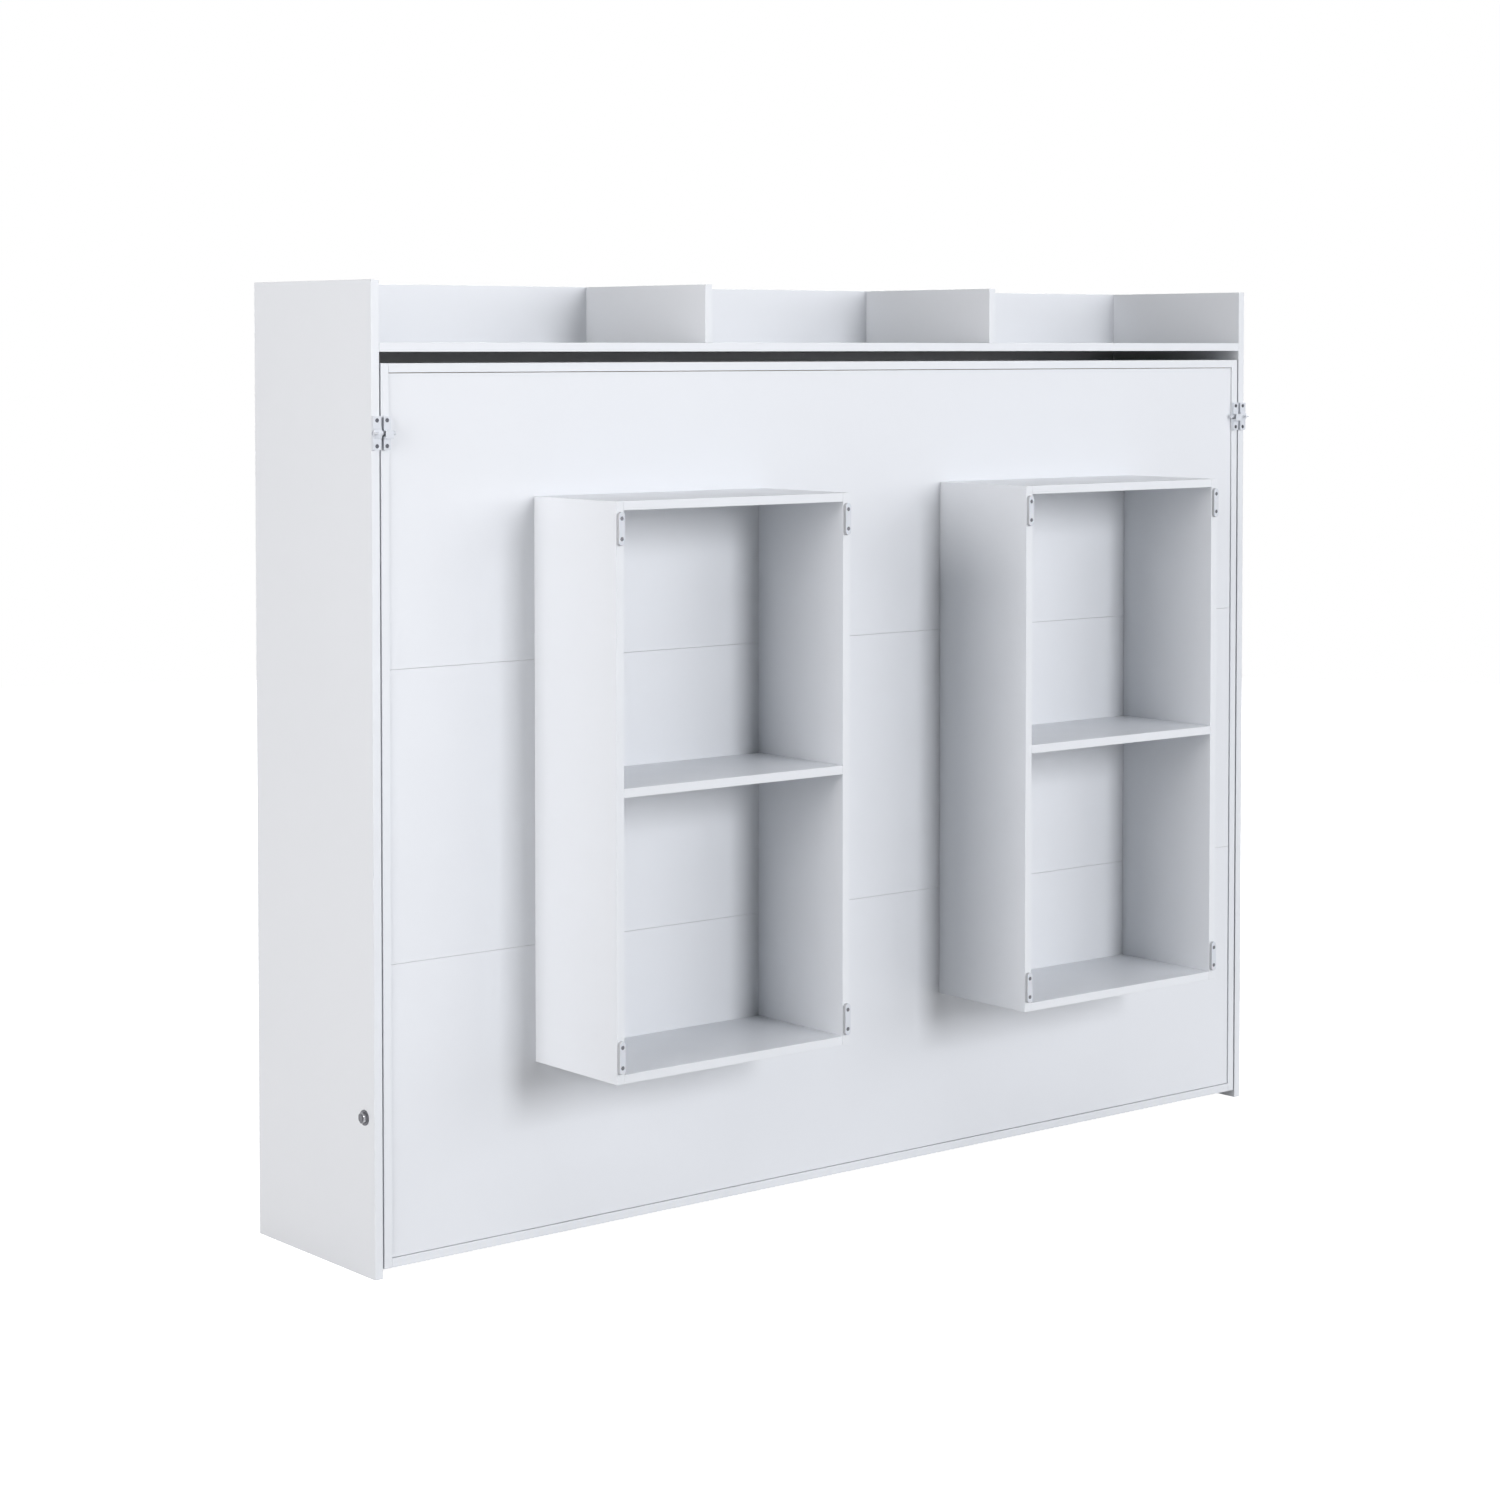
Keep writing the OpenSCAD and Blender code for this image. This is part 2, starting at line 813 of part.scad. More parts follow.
module bed_barrel_nuts()
    color(STEEL)
        both_ends()
            for (place = FRAME_BOLTS)
                difference() {
                    barrel(place);
                    bar_x([well_x - barrel_in - barrel_d, place[0], place[1]],
                        frame_bolt_d + 2 * hole_fit, 2 * barrel_d);
                }

// The hole for the barrel nut, open at a face of its board
module barrel_hole(place)
    translate([well_x - barrel_in, place[0], place[1]])
        rotate([place[2] > 0 ? 0 : 180, 0, 0])
            translate([0, 0, -barrel_h / 2 - pass_gap])
                cylinder(d = barrel_d + 2 * hole_fit, h = barrel_h / 2 + pass_gap + place[3] + over);

// What the bolts and nuts take out of the boards they enter
module frame_bolt_room()
    both_ends()
        for (place = FRAME_BOLTS) {
            frame_bolt_hole(place);
            barrel_hole(place);
        }

module end_rail() {
    pilot_l = plate_screw_l - plate_t + over;
    difference() {
        board([well_x, bed_y, bed_z], [board_t, rail_d, bed_h]);
        bar_x([well_x - over, pivot_y, pivot_z], bush_d + 2 * hole_fit, board_t + 2 * over);
        for (place = FRAME_BOLTS)
            frame_bolt_hole(place);
        for (s = ENDS)
            bar_y([keeper_x, bed_y - over, latch_z + s * latch_pitch / 2],
                plate_screw_d + 2 * hole_fit, pilot_l + over);
    }
}

module bed_left_rail()
    color(MELAMINE)
        on_left()
            end_rail();

module bed_right_rail()
    color(MELAMINE)
        end_rail();

module long_rail(z)
    difference() {
        board([-well_x, bed_y, z], [2 * well_x, rail_d, board_t]);
        frame_bolt_room();
    }

module bed_top_rail()
    color(MELAMINE)
        long_rail(bed_z + bed_h - board_t);

module bed_bottom_rail()
    color(MELAMINE)
        long_rail(bed_z);

// Front board i, counted from the bottom, with the holes for the boxes' screws
module front_board(i)
    color(MELAMINE)
        difference() {
            board([panel_gap - well_x, face_y, well_z + panel_gap + i * front_board_pitch],
                [2 * (well_x - panel_gap), board_t, front_board_h]);
            box_screw_holes();
        }

module lower_front_board()
    front_board(0);

module middle_front_board()
    front_board(1);

module upper_front_board()
    front_board(2);

module support_beam(i)
    color(BEAM_WOOD)
        difference() {
            board([-well_x, panel_back_y, beam_z(i)], [2 * well_x, beam_d, beam_w]);
            frame_bolt_room();
        }

module lower_support_beam()
    support_beam(1);

module upper_support_beam()
    support_beam(2);

module ledger(z)
    color(BEAM_WOOD)
        board([-well_x, panel_back_y, z], [2 * well_x, beam_d, ledger_w]);

module bottom_ledger()
    ledger(well_z);

module top_ledger()
    ledger(well_z + well_h - ledger_w);

module mattress_slats() {
    pitch = (2 * well_x - slat_w) / slat_n;
    color(SLAT_WOOD)
        for (i = [0:slat_n - 1])
            board([-well_x + pitch * (i + 0.5), slat_y, well_z + pass_gap],
                [slat_w, slat_t, well_h - 2 * pass_gap]);
}

// ---- boxes ----

// Box s is -1 for the left one and 1 for the right one; side e likewise
function box_side_x(s, e) = s * box_centre + e * (box_w - board_t) / 2;

module box_side(s, e)
    color(MELAMINE)
        difference() {
            board([box_side_x(s, e) - board_t / 2, box_front_y, box_z], [board_t, box_d, box_h]);
            box_screw_holes();
            box_dowel_rows(dowel_d + 2 * hole_fit, pass_gap);
            glide_screw_holes();
        }

module box_board(s, level)
    color(MELAMINE)
        difference() {
            board([s * box_centre - box_inner_w / 2, box_front_y, box_z + BOX_LEVELS[level]],
                [box_inner_w, box_d, board_t]);
            box_dowel_rows(dowel_d + 2 * hole_fit, pass_gap);
        }

module left_box_left_side()
    box_side(-1, -1);

module left_box_right_side()
    box_side(-1, 1);

module left_box_bottom()
    box_board(-1, 0);

module left_box_middle_shelf()
    box_board(-1, 1);

module left_box_top()
    box_board(-1, 2);

module right_box_left_side()
    box_side(1, -1);

module right_box_right_side()
    box_side(1, 1);

module right_box_bottom()
    box_board(1, 0);

module right_box_middle_shelf()
    box_board(1, 1);

module right_box_top()
    box_board(1, 2);

// Dowels between the boxes' sides and their cross boards
module box_dowel_rows(d, extra)
    for (s = ENDS, e = ENDS, level = BOX_LEVELS)
        for (y = [box_front_y + dowel_edge_in, face_y - dowel_edge_in]) {
            x = box_side_x(s, e) - e * board_t / 2;
            start = e > 0 ? dowel_l - dowel_short : dowel_short;
            bar_x([x - start - extra, y, box_z + level + board_t / 2], d, dowel_l + 2 * extra);
        }

module box_dowels()
    color(BEAM_WOOD)
        box_dowel_rows(dowel_d, 0);

// Screws from behind the front boards into the boxes' sides
module box_screws()
    color(STEEL)
        for (s = ENDS, e = ENDS, level = BOX_SCREW_LEVELS) {
            x = box_side_x(s, e);
            z = box_z + level;
            union() {
                bar_y([x, panel_back_y, z], box_screw_head_d, box_screw_head_h);
                bar_y([x, panel_back_y - box_screw_l, z], box_screw_d, box_screw_l + over);
            }
        }

module box_screw_holes()
    for (s = ENDS, e = ENDS, level = BOX_SCREW_LEVELS)
        bar_y([box_side_x(s, e), panel_back_y - box_screw_l - pass_gap, box_z + level],
            box_screw_d + 2 * hole_fit, box_screw_l + pass_gap + over);

// Glides on the front edges of the boxes' sides, near their ends
function glide_z(end) = box_z + (end < 0 ? glide_in + glide_l / 2 : box_h - glide_in - glide_l / 2);

module box_glides()
    color(NYLON)
        for (s = ENDS, e = ENDS, end = ENDS)
            difference() {
                towards_front(box_side_x(s, e), box_front_y, glide_z(end), glide_t)
                    union() {
                        square([glide_w, glide_l - glide_w], center = true);
                        for (c = ENDS)
                            translate([0, c * (glide_l - glide_w) / 2])
                                circle(glide_w / 2);
                    }
                for (c = ENDS)
                    plate_screw_hole([box_side_x(s, e), box_front_y - glide_t,
                        glide_z(end) + c * glide_pitch / 2], glide_t);
            }

module glide_screws()
    color(DARK_STEEL)
        for (s = ENDS, e = ENDS, end = ENDS, c = ENDS)
            plate_screw([box_side_x(s, e), box_front_y - glide_t,
                glide_z(end) + c * glide_pitch / 2], glide_screw_l);

module glide_screw_holes()
    for (s = ENDS, e = ENDS, end = ENDS, c = ENDS)
        bar_y([box_side_x(s, e), box_front_y - over, glide_z(end) + c * glide_pitch / 2],
            plate_screw_d + 2 * hole_fit, glide_screw_l - glide_t + over + pass_gap);

// ---- the whole bed ----

left_side_panel();
right_side_panel();
top_shelf();
upper_back_board();
lower_back_rail();
left_divider();
right_divider();
left_back_panel();
centre_back_panel();
right_back_panel();
back_panel_joiners();
left_stop_block();
right_stop_block();
stop_bumpers();
left_pivot_bolt();
right_pivot_bolt();
pivot_nuts();
pivot_washers();
thrust_washers();
left_latch_plate();
right_latch_plate();
latch_plate_screws();
cam_locks();
cam_bolts();
divider_dowels();
left_latch_bolt();
right_latch_bolt();
bed_left_rail();
bed_right_rail();
bed_top_rail();
bed_bottom_rail();
upper_front_board();
middle_front_board();
lower_front_board();
upper_support_beam();
lower_support_beam();
top_ledger();
bottom_ledger();
mattress_slats();
left_pivot_bush();
right_pivot_bush();
left_keeper();
right_keeper();
keeper_screws();
bed_frame_bolts();
bed_barrel_nuts();
left_box_left_side();
left_box_right_side();
left_box_top();
left_box_middle_shelf();
left_box_bottom();
right_box_left_side();
right_box_right_side();
right_box_top();
right_box_middle_shelf();
right_box_bottom();
box_glides();
glide_screws();
box_screws();
box_dowels();
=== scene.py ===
"""Horizontal wall bed: the finish of its boards, slats, latches and fittings, and its studio.

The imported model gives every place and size. Boards are finished on merged copies of their
nodes, so each keeps its grooves and holes and gets rounded edges, edge bands and a bare core.
"""
import json
import math

import bmesh
import bpy
from bpy.props import FloatProperty, FloatVectorProperty, IntProperty, PointerProperty
from mathutils import Euler, Matrix, Vector

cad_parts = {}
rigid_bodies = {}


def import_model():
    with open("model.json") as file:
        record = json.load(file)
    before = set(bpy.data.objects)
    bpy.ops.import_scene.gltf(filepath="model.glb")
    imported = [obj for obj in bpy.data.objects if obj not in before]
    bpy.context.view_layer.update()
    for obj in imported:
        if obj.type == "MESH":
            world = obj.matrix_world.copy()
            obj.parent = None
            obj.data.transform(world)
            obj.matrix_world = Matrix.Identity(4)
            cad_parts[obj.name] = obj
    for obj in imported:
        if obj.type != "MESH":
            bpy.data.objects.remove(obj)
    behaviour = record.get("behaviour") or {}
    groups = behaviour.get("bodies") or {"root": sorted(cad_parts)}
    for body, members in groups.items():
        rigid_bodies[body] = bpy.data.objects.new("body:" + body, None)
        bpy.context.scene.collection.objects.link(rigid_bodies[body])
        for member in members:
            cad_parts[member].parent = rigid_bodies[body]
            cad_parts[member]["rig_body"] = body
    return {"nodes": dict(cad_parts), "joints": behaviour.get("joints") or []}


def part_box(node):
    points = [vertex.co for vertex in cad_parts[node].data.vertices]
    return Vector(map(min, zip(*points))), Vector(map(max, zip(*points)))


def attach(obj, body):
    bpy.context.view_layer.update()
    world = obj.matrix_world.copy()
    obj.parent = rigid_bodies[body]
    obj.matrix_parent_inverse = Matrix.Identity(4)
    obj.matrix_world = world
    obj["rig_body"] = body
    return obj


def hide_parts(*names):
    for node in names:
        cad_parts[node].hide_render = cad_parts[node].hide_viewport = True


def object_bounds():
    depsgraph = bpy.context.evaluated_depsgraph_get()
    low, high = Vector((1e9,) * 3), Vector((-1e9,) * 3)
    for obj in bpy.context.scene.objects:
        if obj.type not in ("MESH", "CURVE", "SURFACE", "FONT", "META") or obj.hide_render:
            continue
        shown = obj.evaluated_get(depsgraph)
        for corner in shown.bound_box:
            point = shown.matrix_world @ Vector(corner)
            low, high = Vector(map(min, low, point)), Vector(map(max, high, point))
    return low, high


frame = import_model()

CAD_LOW, CAD_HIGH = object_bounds()

bl_info = {
    "name": "Horizontal wall bed",
    "version": (1, 0, 0),
    "blender": (4, 5, 0),
    "location": "3D View > Sidebar > Wall bed",
    "description": "Finishes a packed wall bed: boards, slats, latches, glides and fittings",
    "category": "Object",
}

MM = 0.001
TOUCH = 0.02 * MM  # what lies closer than this lies in one place
SAME_POINT = TOUCH / 4  # points closer than this are merged
CUTTER_OVER = 0.2 * MM  # how far a cutter stands out of what it cuts
SAME_FLAT = math.radians(0.5)  # faces that bend less than this are one flat face
LONG_EDGE = 100 * MM  # an edge of a slat longer than this runs along the slat
BEVEL_ANGLE = math.radians(50)  # the bend from which a fitting's edge is rounded
MOSTLY = 0.9  # the share of a normal, or of a reach, that counts as all of it
SIDEWAYS = 0.3  # a face whose normal has less than this of an axis stands beside it
REARWARD = 0.5  # a face whose normal has more than this of +Y belongs to the rear
CROSS_TIP = 0.35  # what is left of a cross recess's width at its bottom
SCREW_TIP = 0.45  # what is left of a slat screw's head at its underside
SHARP_FITTING = 35  # degrees of bend from which a fitting is shaded sharp
SHARP_NUT = 25
FITTING_STEPS = 2  # faces across a fitting's rounded edge
NUT_SIDES = 64
SCREW_SIDES = 20

SENSOR_WIDTH = 36  # millimetres
FARTHEST_SEEN = 200  # metres
FLOOR_RADIUS = 9  # metres
FLOOR_SIDES = 96
FLOOR_GREY = (0.5, 0.5, 0.5)

JOINTS = {joint["name"]: joint for joint in frame["joints"]}

CABINET_BOARDS = (
    "left_side_panel", "right_side_panel", "top_shelf", "upper_back_board",
    "lower_back_rail", "left_divider", "right_divider", "left_stop_block", "right_stop_block",
)
BACK_PANELS = ("left_back_panel", "centre_back_panel", "right_back_panel")
BED_RAILS = ("bed_left_rail", "bed_right_rail", "bed_top_rail", "bed_bottom_rail")
FRONT_BOARDS = ("upper_front_board", "middle_front_board", "lower_front_board")
BOX_BOARDS = tuple(
    f"{side}_box_{board}"
    for side in ("left", "right")
    for board in ("left_side", "right_side", "top", "middle_shelf", "bottom")
)
BEAMS = ("upper_support_beam", "lower_support_beam", "top_ledger", "bottom_ledger")


# ---- settings ----


def length(name, description, millimetres):
    return FloatProperty(
        name=name, description=description, default=millimetres * MM, min=0,
        unit="LENGTH", precision=5,
    )


def colour(name, description, rgb):
    return FloatVectorProperty(
        name=name, description=description, default=rgb, size=3, min=0, max=1,
        subtype="COLOR",
    )


def lamp_power(name, description, watts):
    return FloatProperty(
        name=name, description=description, default=watts, min=0, unit="POWER",
    )


class BoardSizes(bpy.types.PropertyGroup):
    """How the boards and slats are finished"""

    edge_round: length("Edge rounding", "Radius of the boards' trimmed edges", 0.7)
    seam_round: length("Seam rounding", "Radius where two front boards meet", 0.25)
    slat_round: length("Slat rounding", "Radius of the slats' long edges", 2.5)
    beam_round: length("Beam rounding", "Radius of the beams' edges", 1.5)
    steps: IntProperty(
        name="Rounding steps", description="Faces across a rounded edge", default=3,
        min=1, max=8,
    )


class FittingSizes(bpy.types.PropertyGroup):
    """Small details of the metal and nylon fittings"""

    latch_round: length("Latch rounding", "Radius of the latches' edges", 0.35)
    glide_round: length("Glide rounding", "Radius of the glides' front edges", 1.0)
    nut_chamfer: length("Nut chamfer", "How much of each nut's corners is turned off", 0.8)
    cross_arm: length("Recess width", "Width of an arm of a cross recess", 0.9)
    cross_reach: length("Recess reach", "Across a cross recess, from tip to tip", 4.2)
    cross_depth: length("Recess depth", "Depth of a cross recess", 1.4)
    slat_screw_head: length("Slat screw head", "Diameter of a slat screw's head", 7.5)
    slat_screw_spread: length("Slat screw spread", "From a slat's middle to each end screw", 22)
    slat_screw_sunk: length("Slat screw depth", "How far the heads are sunk in the slats", 0.3)
    box_cross_arm: length("Box recess width", "Width of an arm in a box screw's head", 1.2)
    box_cross_reach: length("Box recess reach", "Across a box screw's recess", 5.5)
    box_cross_depth: length("Box recess depth", "Depth of a box screw's recess", 2.0)
    socket_width: length("Socket width", "Across the corners of a frame bolt's socket", 4.6)
    socket_depth: length("Socket depth", "Depth of a frame bolt's socket", 2.4)


class Finishes(bpy.types.PropertyGroup):
    """Colours of the finishes"""

    melamine: colour("Melamine", "White board faces", (0.687, 0.707, 0.735))
    band: colour("Edge band", "White bands on the boards' edges", (0.687, 0.709, 0.735))
    core: colour("Board core", "Bare chipboard in holes and grooves", (0.50, 0.38, 0.24))
    hardboard: colour("Hardboard", "Bare rear of the back panels", (0.33, 0.20, 0.11))
    slat: colour("Slats", "Planed poplar", (0.66, 0.49, 0.29))
    beam: colour("Beams", "Planed pine", (0.60, 0.40, 0.20))
    paint: colour("Latch paint", "White paint of the latches", (0.60, 0.627, 0.67))
    nylon: colour("Nylon", "White glides and bushes", (0.58, 0.605, 0.65))
    # Painted shade: the glides' side walls are coloured darker than their faces to stand in for
    # the shade along them.
    glide_side_painted_shade: colour("Glide walls", "Duller sides of the glides", (0.42, 0.43, 0.45))
    # On the pivot nuts this bright plating goes only on the flanks, as a painted highlight.
    nickel: colour("Nickel", "Bright plating of nuts, screws and cams", (0.58, 0.58, 0.60))
    zinc: colour("Zinc", "Dull plating of the pivots and the glides' screws", (0.14, 0.142, 0.155))
    black_steel: colour("Black steel", "Oxide-black screws", (0.052, 0.054, 0.062))
    rubber: colour("Rubber", "Bumpers of the closed stops", (0.02, 0.02, 0.02))


class Studio(bpy.types.PropertyGroup):
    """Camera, lamps and floor"""

    camera_place: FloatVectorProperty(
        name="Camera place", description="Where the camera stands",
        default=(-3.791, -4.430, 1.4935), size=3, subtype="TRANSLATION",
    )
    heading: FloatProperty(
        name="Heading", description="Turn of the camera about the upright axis",
        default=math.radians(-39.112), subtype="ANGLE",
    )
    tilt: FloatProperty(
        name="Tilt", description="How far the camera looks down",
        default=math.radians(2.223), subtype="ANGLE",
    )
    lens: FloatProperty(name="Lens", description="Focal length in millimetres", default=77.9)
    shift: FloatProperty(name="Shift", description="Vertical shift of the lens", default=-0.185)
    key_power: lamp_power("Key lamp", "Power of the main lamp in front", 660)
    fill_power: lamp_power("Fill lamp", "Power of the wide lamp at the right", 320)
    low_power: lamp_power("Low lamp", "Power of the lamp near the floor", 175)
    top_power: lamp_power("Top lamp", "Power of the lamp above", 275)
    side_power: lamp_power("Side lamp", "Power of the soft lamp at the left", 346)
    rear_power: lamp_power("Rear lamp", "Power of the lamp behind, for the back", 560)
    key_tint: colour("Key tint", "Colour of the lamps in front and above", (0.97, 0.972, 0.997))
    side_tint: colour("Side tint", "Colour of the lamp at the left", (0.985, 0.968, 0.967))
    daylight: FloatProperty(
        name="Room light", description="Strength of the even light all round", default=0.02,
    )
    floor_glow: FloatProperty(
        name="Floor glow", description="Share of the floor's white that no shadow darkens",
        default=0.93, min=0, max=1,
    )


# ---- selecting and shaping ----


def only(*pieces):
    """Selects these pieces alone, with the last one active."""
    if bpy.context.mode != "OBJECT":
        bpy.ops.object.mode_set(mode="OBJECT")
    bpy.ops.object.select_all(action="DESELECT")
    for piece in pieces:
        piece.select_set(True)
        bpy.context.view_layer.objects.active = piece


def edit(piece, select="NONE"):
    """Opens a piece for editing, with everything or nothing selected."""
    only(piece)
    bpy.ops.object.mode_set(mode="EDIT")
    bpy.ops.mesh.select_mode(type="EDGE")
    bpy.ops.mesh.select_all(action="SELECT" if select == "ALL" else "DESELECT")


def finish_edit():
    bpy.ops.object.mode_set(mode="OBJECT")


def select_edges(piece, wanted):
    """In edit mode, selects the edges for which wanted(edge) is true, and counts them."""
    mesh = bmesh.from_edit_mesh(piece.data)
    mesh.edges.ensure_lookup_table()
    chosen = [edge for edge in mesh.edges if wanted(edge)]
    for edge in chosen:
        edge.select_set(True)
    bmesh.update_edit_mesh(piece.data)
    return len(chosen)


def narrow_tip(piece, share):
    """Draws in the face of a piece that looks along +Y, to a share of its size."""
    edit(piece)
    mesh = bmesh.from_edit_mesh(piece.data)
    for face in mesh.faces:
        if face.normal.y > MOSTLY:
            face.select_set(True)
    bmesh.update_edit_mesh(piece.data)
    bpy.ops.transform.resize(value=(share, 1, share))
    finish_edit()


def round_edges(piece, wanted, radius, steps):
    """Rounds the edges for which wanted(edge) is true."""
    edit(piece)
    if not select_edges(piece, wanted):
        raise RuntimeError(f"{piece.name} has no edge to round there")
    bpy.ops.mesh.bevel(
        offset_type="OFFSET", offset=radius, segments=steps, affect="EDGES",
        clamp_overlap=False,
    )
    finish_edit()


def apply_modifier(piece, kind, **settings):
    """Adds a modifier, sets it and applies it."""
    only(piece)
    bpy.ops.object.modifier_add(type=kind)
    modifier = piece.modifiers[-1]
    for name, value in settings.items():
        setattr(modifier, name, value)
    bpy.ops.object.modifier_apply(modifier=modifier.name)


def soften(piece, radius, steps):
    """Rounds every sharp edge of a piece."""
    apply_modifier(
        piece, "BEVEL", width=radius, segments=steps, limit_method="ANGLE",
        angle_limit=BEVEL_ANGLE,
    )


def smooth(piece, angle=40):
    """Shades a piece smooth, but sharp over edges above an angle in degrees, with its flats
    kept flat."""
    only(piece)
    bpy.ops.object.shade_smooth_by_angle(angle=math.radians(angle))
    apply_modifier(piece, "WEIGHTED_NORMAL", keep_sharp=True, weight=100)


def place_in_mesh(piece):
    """Moves a piece's place, turn and scale into its mesh."""
    only(piece)
    bpy.ops.object.transform_apply(location=True, rotation=True, scale=True)


def copies(piece, places, name):
    """Copies of a piece, each moved by one matrix, joined as one piece. The first one goes."""
    made = []
    for place in places:
        copy = bpy.data.objects.new(name, piece.data.copy())
        copy.data.transform(place)
        bpy.context.scene.collection.objects.link(copy)
        made.append(copy)
    bpy.data.objects.remove(piece)
    only(*made)
    if len(made) > 1:
        bpy.ops.object.join()
    joined = bpy.context.view_layer.objects.active
    joined.name = name
    return joined


def cut(piece, cutter):
    """Takes a cutter's shape out of a piece. The cutter goes."""
    apply_modifier(piece, "BOOLEAN", operation="DIFFERENCE", object=cutter, solver="EXACT")
    bpy.data.objects.remove(cutter)


# ---- pieces from nodes ----


def stands_for(piece, node):
    """The piece rides on the node's body and stands for it."""
    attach(piece, frame["nodes"][node]["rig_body"])
    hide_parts(node)
    return piece


def merged_copy(node):
    """A copy of a node with its loose triangles merged into one skin of flat faces."""
    source = frame["nodes"][node]
    piece = bpy.data.objects.new(f"{node}_finished", source.data.copy())
    bpy.context.scene.collection.objects.link(piece)
    edit(piece, "ALL")
    bpy.ops.mesh.customdata_custom_splitnormals_clear()
    bpy.ops.mesh.remove_doubles(threshold=SAME_POINT)
    bpy.ops.mesh.dissolve_limited(angle_limit=SAME_FLAT)
    finish_edit()
    piece.data.materials.clear()
    return stands_for(piece, node)


def solid_boxes(node):
    """The lowest and highest corner of each separate solid of a node."""
    mesh = bmesh.new()
    mesh.from_mesh(frame["nodes"][node].data)
    bmesh.ops.remove_doubles(mesh, verts=mesh.verts, dist=SAME_POINT)
    left = set(mesh.verts)
    boxes = []
    while left:
        island = set()
        to_visit = [left.pop()]
        while to_visit:
            vert = to_visit.pop()
            island.add(vert)
            for link in vert.link_edges:
                other = link.other_vert(vert)
                if other in left:
                    left.discard(other)
                    to_visit.append(other)
        points = [vert.co for vert in island]
        boxes.append(tuple(
            Vector([pick(point[i] for point in points) for i in range(3)])
            for pick in (min, max)
        ))
    mesh.free()
    return sorted(boxes, key=lambda box: tuple(round(value, 4) for value in box[0]))


def along_box(edge, low, high):
    """True if an edge lies along one of the twelve edges of a box."""
    first, second = (vert.co for vert in edge.verts)
    sides = sum(
        any(abs(first[i] - limit) < TOUCH and abs(second[i] - limit) < TOUCH
            for limit in (low[i], high[i]))
        for i in range(3)
    )
    return sides >= 2


def thin_axis(low, high):
    size = high - low
    return min(range(3), key=lambda i: size[i])


def finish_board(node, radius, faces, band, core):
    """Rounds a board's edges and gives its faces, its banded edges and its core a finish."""
    sizes = bpy.context.scene.board_sizes
    low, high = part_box(node)
    piece = merged_copy(node)
    round_edges(piece, lambda edge: along_box(edge, low, high), radius, sizes.steps)
    for material in (faces, band, core):
        piece.data.materials.append(material)
    flat = thin_axis(low, high)
    for polygon in piece.data.polygons:
        centre = polygon.center
        depth = min(min(centre[i] - low[i], high[i] - centre[i]) for i in range(3))
        if depth > radius:
            polygon.material_index = 2
        elif abs(polygon.normal[flat]) < MOSTLY:
            polygon.material_index = 1
    smooth(piece)
    return piece


def refinish(piece, material, wanted):
    """Gives the faces for which wanted(normal) is true another finish."""
    piece.data.materials.append(material)
    for face in piece.data.polygons:
        if wanted(face.normal):
            face.material_index = len(piece.data.materials) - 1


def dress(node, material):
    """Gives a node that stays as it is its finish."""
    for slot in frame["nodes"][node].material_slots:
        slot.material = material


# ---- materials ----


class Graph:
    """The node tree of one new material, with what most of them share."""

    def __init__(self, name, rgb, roughness, metallic=0.0, **sockets):
        self.material = bpy.data.materials.new(name)
        self.material.use_nodes = True
        self.tree = self.material.node_tree
        self.shader = self.tree.nodes["Principled BSDF"]
        self.rgb = rgb
        self.shader.inputs["Base Color"].default_value = (*rgb, 1)
        self.shader.inputs["Roughness"].default_value = roughness
        self.shader.inputs["Metallic"].default_value = metallic
        for socket, value in sockets.items():
            self.shader.inputs[socket.replace("_", " ")].default_value = value
        self.coordinates = self.tree.nodes.new("ShaderNodeTexCoord").outputs["Object"]

    def link(self, output, socket):
        self.tree.links.new(output, socket)

    def mapped(self, scale):
        """The object's coordinates, stretched."""
        node = self.tree.nodes.new("ShaderNodeMapping")
        node.inputs["Scale"].default_value = scale
        self.link(self.coordinates, node.inputs["Vector"])
        return node.outputs["Vector"]

    def noise(self, scale, detail=3, vector=None, distortion=0.0):
        node = self.tree.nodes.new("ShaderNodeTexNoise")
        node.inputs["Scale"].default_value = scale
        node.inputs["Detail"].default_value = detail
        node.inputs["Distortion"].default_value = distortion
        self.link(vector or self.coordinates, node.inputs["Vector"])
        return node.outputs["Fac"]

    def spread(self, value, low, high, start=0.35, end=0.65):
        """A value between start and end, spread from low to high."""
        node = self.tree.nodes.new("ShaderNodeMapRange")
        node.inputs["From Min"].default_value = start
        node.inputs["From Max"].default_value = end
        node.inputs["To Min"].default_value = low
        node.inputs["To Max"].default_value = high
        self.link(value, node.inputs["Value"])
        return node.outputs["Result"]

    def combine(self, first, second, operation="ADD"):
        """Two values, or a value and a number, put together."""
        node = self.tree.nodes.new("ShaderNodeMath")
        node.operation = operation
        self.link(first, node.inputs[0])
        if isinstance(second, (int, float)):
            node.inputs[1].default_value = second
        else:
            self.link(second, node.inputs[1])
        return node.outputs[0]

    def tones(self, factor, stops):
        """Colour by a factor: stops are pairs of a place and the base's share there."""
        node = self.tree.nodes.new("ShaderNodeValToRGB")
        ramp = node.color_ramp
        while len(ramp.elements) < len(stops):
            ramp.elements.new(0.5)
        for element, (place, shade) in zip(ramp.elements, stops):
            element.position = place
            element.color = (*(shade * part for part in self.rgb), 1)
        self.link(factor, node.inputs["Fac"])
        self.link(node.outputs["Color"], self.shader.inputs["Base Color"])

    def rough(self, factor, low, high):
        self.link(self.spread(factor, low, high), self.shader.inputs["Roughness"])

    def relief(self, height, distance, strength=1.0):
        """Small relief, its height in metres."""
        node = self.tree.nodes.new("ShaderNodeBump")
        node.inputs["Strength"].default_value = strength
        node.inputs["Distance"].default_value = distance
        self.link(height, node.inputs["Height"])
        self.link(node.outputs["Normal"], self.shader.inputs["Normal"])


